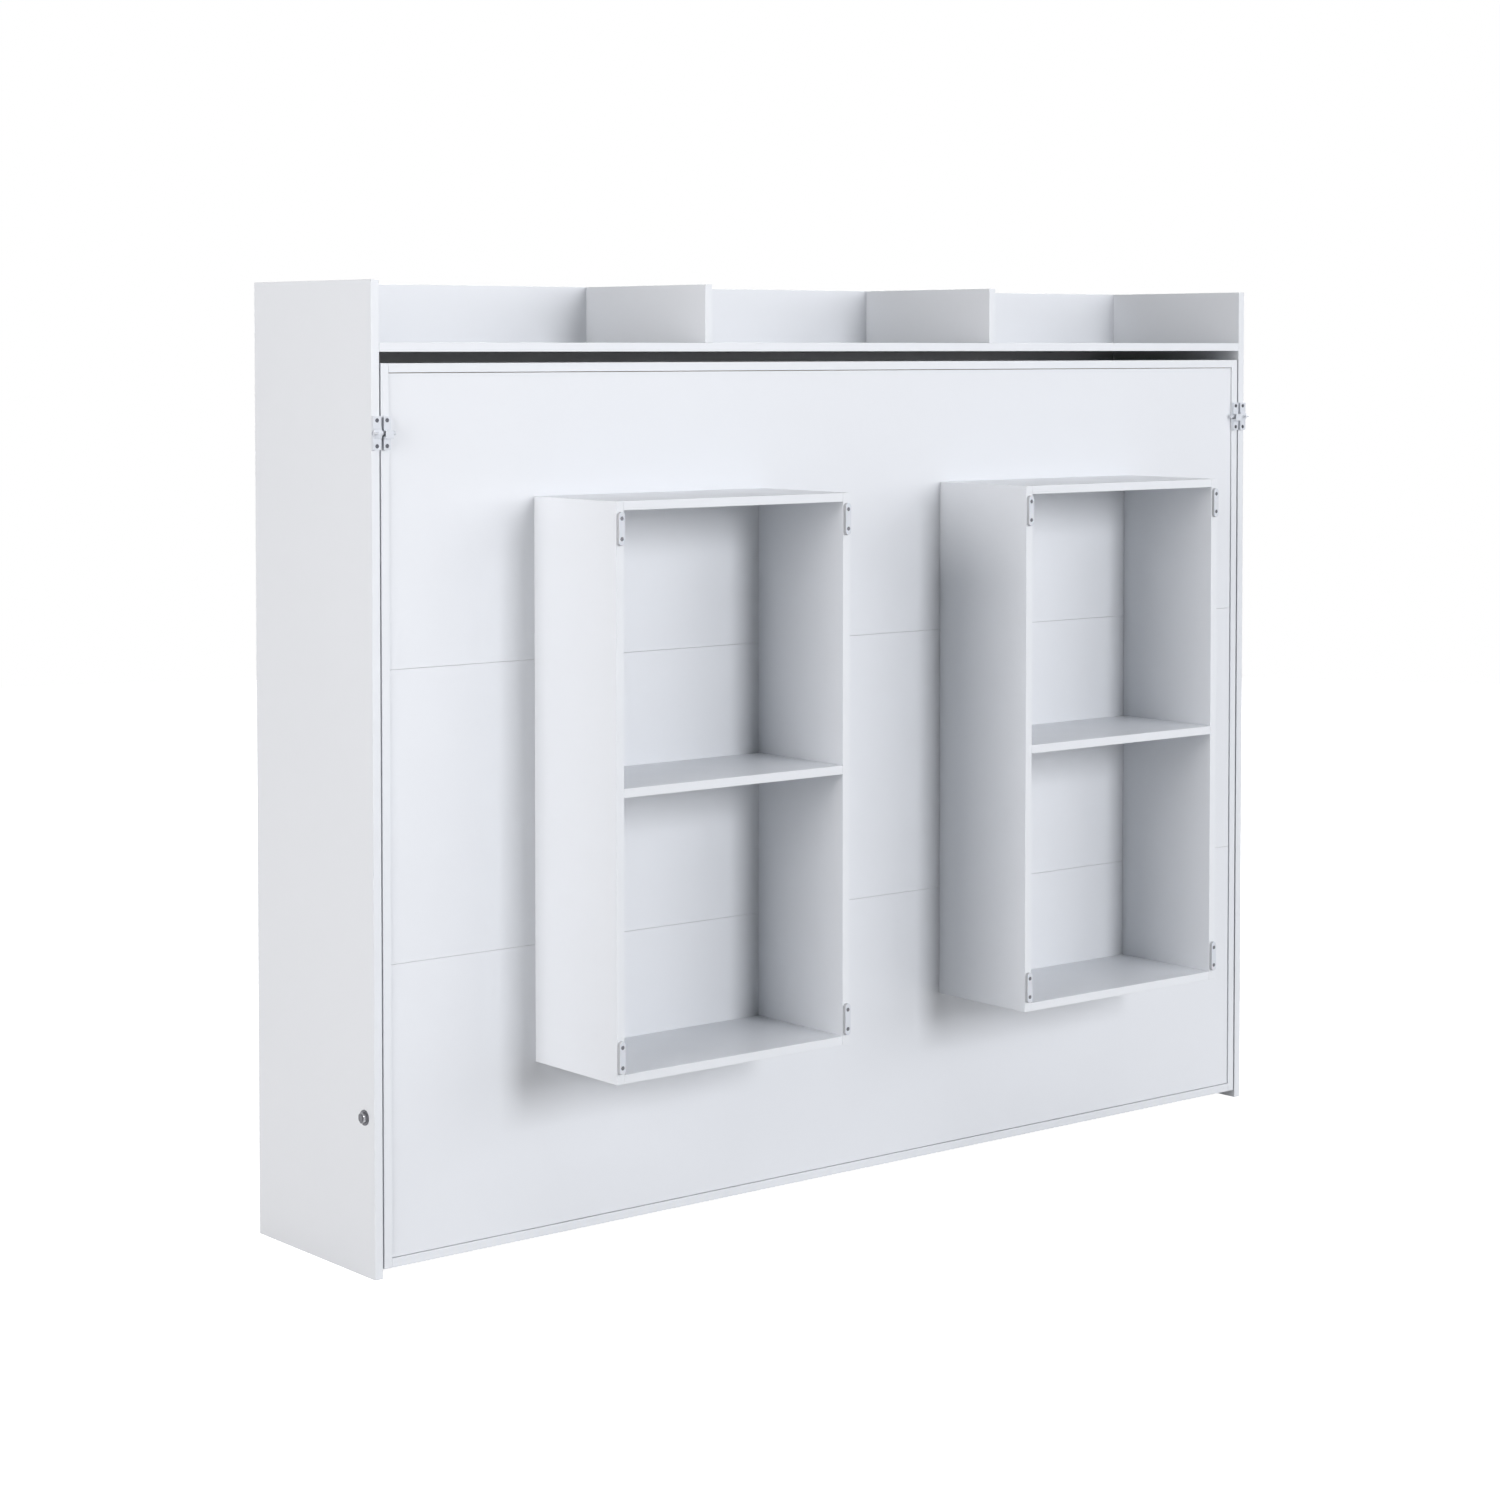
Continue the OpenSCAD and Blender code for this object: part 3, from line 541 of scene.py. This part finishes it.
def melamine_face():
    """White melamine: a fine pearl texture under a satin sheen, hardly varied in tone."""
    graph = Graph("melamine_face", bpy.context.scene.finishes.melamine, 0.38)
    graph.tones(graph.noise(2.2, 4), [(0.3, 0.985), (0.7, 1.0)])
    graph.rough(graph.noise(9, 4), 0.34, 0.42)
    pearl = graph.combine(graph.noise(1400, 2), graph.noise(420, 2))
    graph.relief(pearl, 0.012 * MM, 0.5)
    return graph.material


def edge_band():
    """The plastic bands on the boards' edges: smoother than the faces."""
    graph = Graph("edge_band", bpy.context.scene.finishes.band, 0.32)
    graph.tones(graph.noise(6, 3), [(0.3, 0.99), (0.7, 1.0)])
    graph.rough(graph.noise(30, 3), 0.28, 0.36)
    graph.relief(graph.noise(700, 2), 0.01 * MM, 0.4)
    return graph.material


def chipboard():
    """Bare chipboard: pressed flakes of several sizes."""
    graph = Graph("chipboard_core", bpy.context.scene.finishes.core, 0.85)
    flakes = graph.combine(graph.noise(900, 4), graph.noise(350, 2), "MULTIPLY")
    graph.tones(flakes, [(0.12, 0.45), (0.26, 1.0), (0.42, 1.3)])
    graph.relief(graph.noise(600, 3), 0.2 * MM, 0.7)
    return graph.material


def hardboard_white():
    """The lacquered front of the back panels."""
    graph = Graph("hardboard_white", bpy.context.scene.finishes.melamine, 0.5)
    graph.tones(graph.noise(3, 4), [(0.3, 0.94), (0.7, 0.97)])
    graph.rough(graph.noise(14, 3), 0.45, 0.55)
    graph.relief(graph.noise(800, 2), 0.015 * MM, 0.5)
    return graph.material


def hardboard_bare():
    """The rear of the back panels: brown fibre with the imprint of its pressing screen."""
    graph = Graph("hardboard_bare", bpy.context.scene.finishes.hardboard, 0.75)
    fibre = graph.noise(260, 5, distortion=1.5)
    graph.tones(fibre, [(0.3, 0.8), (0.52, 1.0), (0.75, 1.3)])
    screen = graph.tree.nodes.new("ShaderNodeTexVoronoi")
    screen.inputs["Scale"].default_value = 700
    graph.link(graph.coordinates, screen.inputs["Vector"])
    graph.relief(screen.outputs["Distance"], 0.12 * MM, 0.5)
    return graph.material


def wood(name, rgb, stretch, seed_pitch):
    """Planed wood: grain along the long axis, with its own tone for each piece."""
    graph = Graph(name, rgb, 0.55)
    split = graph.tree.nodes.new("ShaderNodeSeparateXYZ")
    graph.link(graph.coordinates, split.inputs["Vector"])
    board = graph.combine(split.outputs["X"], seed_pitch, "SNAP")
    tone = graph.tree.nodes.new("ShaderNodeTexWhiteNoise")
    tone.noise_dimensions = "1D"
    graph.link(board, tone.inputs["W"])
    rings = graph.noise(26, 4, graph.mapped(stretch), 1.2)
    pores = graph.noise(420, 3, graph.mapped(stretch))
    waves = graph.combine(rings, 9.0, "MULTIPLY")
    lines = graph.combine(waves, 1.0, "PINGPONG")
    fine = graph.combine(graph.spread(lines, 0.0, 0.7, 0, 1), graph.spread(pores, 0, 0.3))
    both = graph.combine(fine, graph.spread(tone.outputs["Value"], -0.14, 0.14, 0, 1))
    graph.tones(both, [(0.0, 1.12), (0.45, 1.0), (0.8, 0.82), (1.0, 0.68)])
    graph.rough(pores, 0.46, 0.64)
    graph.relief(pores, 0.06 * MM, 0.6)
    return graph.material


def slat_wood():
    return wood("slat_wood", bpy.context.scene.finishes.slat, (1, 1, 0.05), slat_pitch())


def beam_wood():
    return wood("beam_wood", bpy.context.scene.finishes.beam, (0.04, 1, 1), 4.0)


def latch_paint():
    """White paint on cast metal: an even coat with the faintest orange peel."""
    graph = Graph("latch_paint", bpy.context.scene.finishes.paint, 0.35)
    graph.tones(graph.noise(60, 3), [(0.3, 0.96), (0.7, 1.0)])
    graph.rough(graph.noise(120, 3), 0.28, 0.42)
    graph.relief(graph.noise(900, 2), 0.03 * MM, 0.5)
    return graph.material


def nylon():
    """White moulded nylon, slightly see-through."""
    graph = Graph(
        "nylon", bpy.context.scene.finishes.nylon, 0.45, Subsurface_Weight=0.08,
        Subsurface_Scale=0.002,
    )
    graph.tones(graph.noise(90, 3), [(0.3, 0.97), (0.7, 1.0)])
    graph.rough(graph.noise(200, 3), 0.4, 0.52)
    graph.relief(graph.noise(1200, 2), 0.02 * MM, 0.5)
    return graph.material


def glide_side_painted_shade():
    """The glides' sides: left matt, and coloured greyer than the faces as painted shade along
    their walls.
    """
    graph = Graph("glide_side_painted_shade", bpy.context.scene.finishes.glide_side_painted_shade, 0.6)
    graph.tones(graph.noise(90, 3), [(0.3, 0.97), (0.7, 1.0)])
    graph.relief(graph.noise(1200, 2), 0.03 * MM, 0.5)
    return graph.material


def nickel():
    """Plated steel, a little dulled, with turning marks."""
    graph = Graph("nickel", bpy.context.scene.finishes.nickel, 0.3, 1.0)
    graph.tones(graph.noise(150, 4), [(0.3, 0.75), (0.7, 1.05)])
    graph.rough(graph.noise(300, 3), 0.24, 0.42)
    graph.relief(graph.noise(900, 3), 0.03 * MM, 0.5)
    return graph.material


def zinc():
    """Dull plated bolts, washers and screws, worn brighter in places."""
    graph = Graph("zinc", bpy.context.scene.finishes.zinc, 0.4, 1.0)
    graph.tones(graph.noise(700, 4), [(0.3, 0.7), (0.7, 1.4)])
    graph.rough(graph.noise(300, 3), 0.32, 0.5)
    graph.relief(graph.noise(900, 3), 0.03 * MM, 0.5)
    return graph.material


def black_steel():
    """Screws with a black oxide skin, rubbed brighter in places."""
    graph = Graph("black_steel", bpy.context.scene.finishes.black_steel, 0.4, 0.9)
    graph.tones(graph.noise(500, 4), [(0.35, 1.0), (0.75, 2.2)])
    graph.rough(graph.noise(700, 3), 0.32, 0.55)
    graph.relief(graph.noise(1200, 2), 0.02 * MM, 0.5)
    return graph.material


def rubber():
    graph = Graph("rubber", bpy.context.scene.finishes.rubber, 0.85)
    graph.tones(graph.noise(400, 3), [(0.3, 0.8), (0.7, 1.3)])
    graph.relief(graph.noise(1500, 2), 0.05 * MM, 0.5)
    return graph.material


MATERIALS = {}


def made_of(maker):
    """The material that a maker function makes, made once."""
    if maker not in MATERIALS:
        MATERIALS[maker] = maker()
    return MATERIALS[maker]


def board_materials():
    return made_of(melamine_face), made_of(edge_band), made_of(chipboard)


# ---- small shapes ----


def cylinder(radius, depth, middle, axis, sides):
    """A cylinder with its middle at a place, along X or Y."""
    bpy.ops.object.select_all(action="DESELECT")
    bpy.ops.mesh.primitive_cylinder_add(
        vertices=sides, radius=radius, depth=depth, location=middle,
        rotation=(0, math.pi / 2, 0) if axis == "X" else (math.pi / 2, 0, 0),
    )
    made = bpy.context.object
    place_in_mesh(made)
    return made


def slat_pitch():
    """Distance from one slat to the next."""
    boxes = solid_boxes("mattress_slats")
    return boxes[1][0].x - boxes[0][0].x


def cross_cutter(arm, reach, depth):
    """A cross that narrows to its tip, its mouth at the origin and its tip along +Y."""
    blades = []
    for across, tall in ((reach, arm), (arm, reach)):
        bpy.ops.object.select_all(action="DESELECT")
        bpy.ops.mesh.primitive_cube_add(size=1, location=(0, (depth - CUTTER_OVER) / 2, 0))
        blade = bpy.context.object
        blade.scale = (across, depth + CUTTER_OVER, tall)
        place_in_mesh(blade)
        narrow_tip(blade, CROSS_TIP)
        blades.append(blade)
    wide, tall_blade = blades
    apply_modifier(wide, "BOOLEAN", operation="UNION", object=tall_blade, solver="EXACT")
    bpy.data.objects.remove(tall_blade)
    return wide


def socket_cutter(width, depth):
    """A six-sided socket, its mouth at the origin and its bottom along +Y."""
    middle = (0, (depth - CUTTER_OVER) / 2, 0)
    return cylinder(width / 2, depth + CUTTER_OVER, middle, "Y", 6)


def facing(direction):
    """A turn that takes +Y to the direction in which a cutter goes in."""
    return Vector((0, 1, 0)).rotation_difference(Vector(direction)).to_matrix().to_4x4()


def heads_of(node, direction):
    """The middle of each solid's end face on the side that a cutter comes from."""
    into = Vector(direction)
    places = []
    for low, high in solid_boxes(node):
        middle = (low + high) / 2
        half = abs((high - low).dot(into)) / 2
        places.append(Matrix.Translation(middle - into * half) @ facing(direction))
    return places


def recessed(node, cutter, direction, material):
    """A node's screws with a copy of a cutter's recess in each head. The cutter goes."""
    piece = merged_copy(node)
    cut(piece, copies(cutter, heads_of(node, direction), f"{node}_recesses"))
    piece.data.materials.append(material)
    smooth(piece, SHARP_FITTING)
    return piece


# ---- operators ----


class WallBedOperator:
    """What the operators share"""

    bl_options = {"REGISTER", "UNDO"}


class WALLBED_OT_cabinet_boards(WallBedOperator, bpy.types.Operator):
    """Rounds and finishes the cabinet's boards"""

    bl_idname = "wallbed.cabinet_boards"
    bl_label = "Cabinet boards"

    def execute(self, context):
        sizes = context.scene.board_sizes
        for node in CABINET_BOARDS:
            finish_board(node, sizes.edge_round, *board_materials())
        return {"FINISHED"}


class WALLBED_OT_back_panels(WallBedOperator, bpy.types.Operator):
    """Gives the back panels a white front and a bare rear, and finishes their joiners"""

    bl_idname = "wallbed.back_panels"
    bl_label = "Back panels"

    def execute(self, context):
        radius = context.scene.board_sizes.seam_round
        for node in BACK_PANELS:
            piece = finish_board(
                node, radius, made_of(hardboard_white), made_of(hardboard_bare),
                made_of(hardboard_bare),
            )
            for polygon in piece.data.polygons:
                if polygon.normal.y > REARWARD:
                    polygon.material_index = 1
        dress("back_panel_joiners", made_of(nylon))
        return {"FINISHED"}


class WALLBED_OT_bed_boards(WallBedOperator, bpy.types.Operator):
    """Rounds and finishes the bed's rails and front boards"""

    bl_idname = "wallbed.bed_boards"
    bl_label = "Bed boards"

    def execute(self, context):
        sizes = context.scene.board_sizes
        for node in BED_RAILS:
            finish_board(node, sizes.edge_round, *board_materials())
        for node in FRONT_BOARDS:
            finish_board(node, sizes.seam_round, *board_materials())
        return {"FINISHED"}


class WALLBED_OT_box_boards(WallBedOperator, bpy.types.Operator):
    """Rounds and finishes the boards of the two boxes"""

    bl_idname = "wallbed.box_boards"
    bl_label = "Box boards"

    def execute(self, context):
        sizes = context.scene.board_sizes
        for node in BOX_BOARDS:
            finish_board(node, sizes.edge_round, *board_materials())
        return {"FINISHED"}


class WALLBED_OT_slats_and_beams(WallBedOperator, bpy.types.Operator):
    """Rounds the slats and beams, and screws the slats down"""

    bl_idname = "wallbed.slats_and_beams"
    bl_label = "Slats and beams"

    def execute(self, context):
        sizes = context.scene.board_sizes
        for node in BEAMS:
            low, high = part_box(node)
            piece = merged_copy(node)
            round_edges(
                piece, lambda edge: along_box(edge, low, high), sizes.beam_round, sizes.steps
            )
            piece.data.materials.append(made_of(beam_wood))
            smooth(piece)
        slats = merged_copy("mattress_slats")
        round_edges(
            slats, lambda edge: abs((edge.verts[0].co - edge.verts[1].co).z) > LONG_EDGE,
            sizes.slat_round, sizes.steps,
        )
        slats.data.materials.append(made_of(slat_wood))
        smooth(slats)
        self.slat_screws(context.scene.fitting_sizes)
        return {"FINISHED"}

    @staticmethod
    def slat_screws(sizes):
        """Two screws where a slat ends on a ledger and one where it crosses a beam."""
        head = sizes.slat_screw_head
        thick = head / 3
        screw = cylinder(head / 2, thick, (0, thick / 2, 0), "Y", SCREW_SIDES)
        narrow_tip(screw, SCREW_TIP)
        reach, deep = head * 0.6, head / 4
        cut(screw, cross_cutter(sizes.cross_arm, reach, deep))
        spread = sizes.slat_screw_spread
        places = []
        for low, high in solid_boxes("mattress_slats"):
            x = (low.x + high.x) / 2
            top = high.y - sizes.slat_screw_sunk
            for node in BEAMS:
                beam_low, beam_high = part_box(node)
                z = (beam_low.z + beam_high.z) / 2
                offsets = (-spread, spread) if "ledger" in node else (0,)
                places += [
                    Matrix.Translation((x + offset, top, z)) @ facing((0, -1, 0))
                    for offset in offsets
                ]
        screws = copies(screw, places, "slat_screws")
        screws.data.materials.append(made_of(nickel))
        smooth(screws, SHARP_FITTING)
        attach(screws, "bed")


class WALLBED_OT_latches(WallBedOperator, bpy.types.Operator):
    """Softens and paints the latches, and cuts the recesses of their screws"""

    bl_idname = "wallbed.latches"
    bl_label = "Latches"

    def execute(self, context):
        sizes = context.scene.fitting_sizes
        for side in ("left", "right"):
            for part in ("latch_plate", "latch_bolt", "keeper"):
                piece = merged_copy(f"{side}_{part}")
                soften(piece, sizes.latch_round, FITTING_STEPS)
                piece.data.materials.append(made_of(latch_paint))
                smooth(piece)
        for node in ("latch_plate_screws", "keeper_screws"):
            recess = cross_cutter(sizes.cross_arm, sizes.cross_reach, sizes.cross_depth)
            recessed(node, recess, (0, 1, 0), made_of(black_steel))
        return {"FINISHED"}


class WALLBED_OT_pivots(WallBedOperator, bpy.types.Operator):
    """Chamfers the pivots' nuts, paints a highlight on their flanks, and finishes their bolts,
    washers and bushes
    """

    bl_idname = "wallbed.pivots"
    bl_label = "Pivots"

    def execute(self, context):
        sizes = context.scene.fitting_sizes
        pivot = Vector(JOINTS["bed_fold"]["pos_m"])
        nuts = merged_copy("pivot_nuts")
        low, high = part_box("pivot_nuts")
        corner = (high.z - low.z) / 2
        height = solid_boxes("pivot_nuts")[0][1].x - low.x
        for middle in (low.x + height / 2, high.x - height / 2):
            self.turn_corners(nuts, Vector((middle, pivot.y, pivot.z)), corner, height, sizes)
        nuts.data.materials.append(made_of(zinc))
        # The flanks get the bright nickel and the end faces keep the dark zinc: a painted
        # highlight on the flanks and painted shade on the faces of one plated nut.
        refinish(nuts, made_of(nickel), lambda normal: abs(normal.x) < MOSTLY)
        smooth(nuts, SHARP_NUT)
        for node in ("pivot_washers", "left_pivot_bolt", "right_pivot_bolt"):
            piece = merged_copy(node)
            soften(piece, sizes.latch_round, FITTING_STEPS)
            piece.data.materials.append(made_of(zinc))
            smooth(piece, SHARP_FITTING)
        for node in ("thrust_washers", "left_pivot_bush", "right_pivot_bush"):
            dress(node, made_of(nylon))
        return {"FINISHED"}

    @staticmethod
    def turn_corners(nuts, middle, corner, height, sizes):
        """Turns a nut's corners off on both faces, as a lathe does."""
        ring, barrel = (
            cylinder(corner + over, height + 2 * over, middle, "X", NUT_SIDES)
            for over in (1 * MM, 0)
        )
        soften(barrel, sizes.nut_chamfer, 1)
        cut(ring, barrel)
        cut(nuts, ring)


class WALLBED_OT_glides(WallBedOperator, bpy.types.Operator):
    """Rounds the glides' running faces and cuts the recesses of their screws"""

    bl_idname = "wallbed.glides"
    bl_label = "Glides"

    def execute(self, context):
        sizes = context.scene.fitting_sizes
        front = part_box("box_glides")[0].y
        glides = merged_copy("box_glides")
        boxes = solid_boxes("box_glides")
        reach = max(high.x - low.x for low, high in boxes) / 2

        def outline(edge):
            """The rim of a running face, and not the rims of its screw holes."""
            middle = (edge.verts[0].co + edge.verts[1].co) / 2
            if abs(middle.y - front) > TOUCH or len(edge.link_faces) != 2:
                return False
            low, high = min(
                boxes, key=lambda box: ((box[0] + box[1]) / 2 - middle).length
            )
            centre = (low + high) / 2
            bend = high.z - reach - centre.z
            along = max(abs(middle.z - centre.z) - bend, 0)
            return math.hypot(middle.x - centre.x, along) > reach * MOSTLY

        round_edges(glides, outline, sizes.glide_round, context.scene.board_sizes.steps)
        glides.data.materials.append(made_of(nylon))
        # The side walls get a darker colour, which is painted shade and not a different nylon.
        refinish(glides, made_of(glide_side_painted_shade), lambda normal: abs(normal.y) < SIDEWAYS)
        smooth(glides, SHARP_FITTING)
        recess = cross_cutter(sizes.cross_arm, sizes.cross_reach, sizes.cross_depth)
        recessed("glide_screws", recess, (0, 1, 0), made_of(zinc))
        return {"FINISHED"}


class WALLBED_OT_fittings(WallBedOperator, bpy.types.Operator):
    """Finishes the bolts, cams, nuts, dowels and bumpers inside the boards"""

    bl_idname = "wallbed.fittings"
    bl_label = "Fittings"

    def execute(self, context):
        sizes = context.scene.fitting_sizes
        bolts = merged_copy("bed_frame_bolts")
        for end in (-1, 1):
            heads = [
                Matrix.Translation(place.translation) @ facing((-end, 0, 0))
                for place in heads_of("bed_frame_bolts", (-end, 0, 0))
                if place.translation.x * end > 0
            ]
            socket = socket_cutter(sizes.socket_width, sizes.socket_depth)
            cut(bolts, copies(socket, heads, "sockets"))
        bolts.data.materials.append(made_of(nickel))
        smooth(bolts, SHARP_FITTING)
        recess = cross_cutter(sizes.box_cross_arm, sizes.box_cross_reach, sizes.box_cross_depth)
        recessed("box_screws", recess, (0, -1, 0), made_of(nickel))
        for node in ("cam_locks", "cam_bolts", "bed_barrel_nuts"):
            dress(node, made_of(nickel))
        for node in ("divider_dowels", "box_dowels"):
            dress(node, made_of(beam_wood))
        dress("stop_bumpers", made_of(rubber))
        return {"FINISHED"}


class WALLBED_OT_studio(WallBedOperator, bpy.types.Operator):
    """Makes the camera, the lamps, the room's light and the floor"""

    bl_idname = "wallbed.studio"
    bl_label = "Studio"

    def execute(self, context):
        studio = context.scene.studio
        self.camera(context, studio)
        self.lamp("key", (8, 16, 12), (2.6, 3.4), studio.key_power, studio.key_tint)
        self.lamp("fill", (35, 15, 12), (5, 5), studio.fill_power, studio.key_tint)
        self.lamp("low", (12, 4, 12), (4, 2), studio.low_power, studio.key_tint)
        self.lamp("top", (0, 75, 12), (6, 6), studio.top_power, studio.key_tint)
        self.lamp("side", (-80, 12, 7), (3.5, 3.5), studio.side_power, studio.side_tint)
        self.lamp("rear", (140, 25, 8), (4, 4), studio.rear_power, studio.side_tint)
        self.room_light(context, studio)
        self.floor(studio)
        context.scene.view_settings.view_transform = "Standard"
        return {"FINISHED"}

    @staticmethod
    def camera(context, studio):
        camera = bpy.data.objects.new("camera", bpy.data.cameras.new("camera"))
        context.scene.collection.objects.link(camera)
        camera.location = studio.camera_place
        camera.rotation_euler = (math.pi / 2 - studio.tilt, 0, studio.heading)
        camera.data.lens = studio.lens
        camera.data.sensor_width = SENSOR_WIDTH
        camera.data.shift_y = studio.shift
        camera.data.clip_end = FARTHEST_SEEN
        context.scene.camera = camera

    @staticmethod
    def lamp(name, stand, size, power, tint):
        """A soft lamp aimed at the bed. It stands at degrees to the right of straight in
        front, degrees above level, and metres away; its size is its width and height."""
        right, above, away = stand
        turn = Euler((math.radians(-above), 0, math.radians(right)))
        place = turn.to_matrix() @ Vector((0, -away, 0))
        lamp = bpy.data.objects.new(name, bpy.data.lights.new(name, "AREA"))
        bpy.context.scene.collection.objects.link(lamp)
        lamp.data.shape = "RECTANGLE"
        lamp.data.size, lamp.data.size_y = size
        lamp.data.energy = power
        lamp.data.color = tint
        lamp.location = place + (CAD_LOW + CAD_HIGH) / 2
        lamp.rotation_euler = (-place).to_track_quat("-Z", "Y").to_euler()

    @staticmethod
    def seen_directly(tree):
        """1 for what the camera sees straight, in a reflection or through glass, else 0."""
        path = tree.nodes.new("ShaderNodeLightPath")
        total = path.outputs["Is Camera Ray"]
        for name in ("Is Glossy Ray", "Is Transmission Ray"):
            either = tree.nodes.new("ShaderNodeMath")
            either.operation = "MAXIMUM"
            tree.links.new(total, either.inputs[0])
            tree.links.new(path.outputs[name], either.inputs[1])
            total = either.outputs[0]
        return total

    def room_light(self, context, studio):
        """An even white light, which shows as plain white where it is seen."""
        world = bpy.data.worlds.new("room")
        context.scene.world = world
        world.use_nodes = True
        tree = world.node_tree
        background = tree.nodes["Background"]
        background.inputs["Color"].default_value = (1, 1, 1, 1)
        strength = tree.nodes.new("ShaderNodeMapRange")
        strength.inputs["To Min"].default_value = studio.daylight
        strength.inputs["To Max"].default_value = 1
        tree.links.new(self.seen_directly(tree), strength.inputs["Value"])
        tree.links.new(strength.outputs["Result"], background.inputs["Strength"])

    def floor(self, studio):
        """A white floor that keeps the bed's shadow."""
        bpy.ops.object.select_all(action="DESELECT")
        bpy.ops.mesh.primitive_circle_add(
            vertices=FLOOR_SIDES, radius=FLOOR_RADIUS, fill_type="NGON",
            location=(0, 0, CAD_LOW.z),
        )
        floor = bpy.context.object
        floor.name = "floor"
        place_in_mesh(floor)
        material = bpy.data.materials.new("floor_white")
        material.use_nodes = True
        tree = material.node_tree
        shader = tree.nodes["Principled BSDF"]
        shader.inputs["Base Color"].default_value = (*FLOOR_GREY, 1)
        shader.inputs["Roughness"].default_value = 0.9
        shader.inputs["Specular IOR Level"].default_value = 0
        glow = tree.nodes.new("ShaderNodeEmission")
        seen = tree.nodes.new("ShaderNodeMath")
        seen.operation = "MULTIPLY"
        seen.inputs[1].default_value = studio.floor_glow
        tree.links.new(self.seen_directly(tree), seen.inputs[0])
        tree.links.new(seen.outputs[0], glow.inputs["Strength"])
        both = tree.nodes.new("ShaderNodeAddShader")
        tree.links.new(shader.outputs[0], both.inputs[0])
        tree.links.new(glow.outputs[0], both.inputs[1])
        tree.links.new(both.outputs[0], tree.nodes["Material Output"].inputs["Surface"])
        floor.data.materials.append(material)


OPERATORS = (
    WALLBED_OT_cabinet_boards,
    WALLBED_OT_back_panels,
    WALLBED_OT_bed_boards,
    WALLBED_OT_box_boards,
    WALLBED_OT_slats_and_beams,
    WALLBED_OT_latches,
    WALLBED_OT_pivots,
    WALLBED_OT_glides,
    WALLBED_OT_fittings,
    WALLBED_OT_studio,
)


class WALLBED_PT_panel(bpy.types.Panel):
    """Lists the steps that finish the wall bed"""

    bl_label = "Wall bed"
    bl_idname = "WALLBED_PT_panel"
    bl_space_type = "VIEW_3D"
    bl_region_type = "UI"
    bl_category = "Wall bed"

    def draw(self, context):
        for operator in OPERATORS:
            self.layout.operator(operator.bl_idname)
        for name in SETTINGS:
            group = getattr(context.scene, name)
            box = self.layout.box()
            for field in group.__annotations__:
                box.prop(group, field)


SETTINGS = {
    "board_sizes": BoardSizes,
    "fitting_sizes": FittingSizes,
    "finishes": Finishes,
    "studio": Studio,
}
CLASSES = (*SETTINGS.values(), *OPERATORS, WALLBED_PT_panel)


def register():
    for item in CLASSES:
        bpy.utils.register_class(item)
    for name, group in SETTINGS.items():
        setattr(bpy.types.Scene, name, PointerProperty(type=group))


def unregister():
    for name in SETTINGS:
        delattr(bpy.types.Scene, name)
    for item in reversed(CLASSES):
        bpy.utils.unregister_class(item)


def main():
    register()
    for operator in OPERATORS:
        group, name = operator.bl_idname.split(".")
        getattr(getattr(bpy.ops, group), name)()


if __name__ == "__main__":
    main()
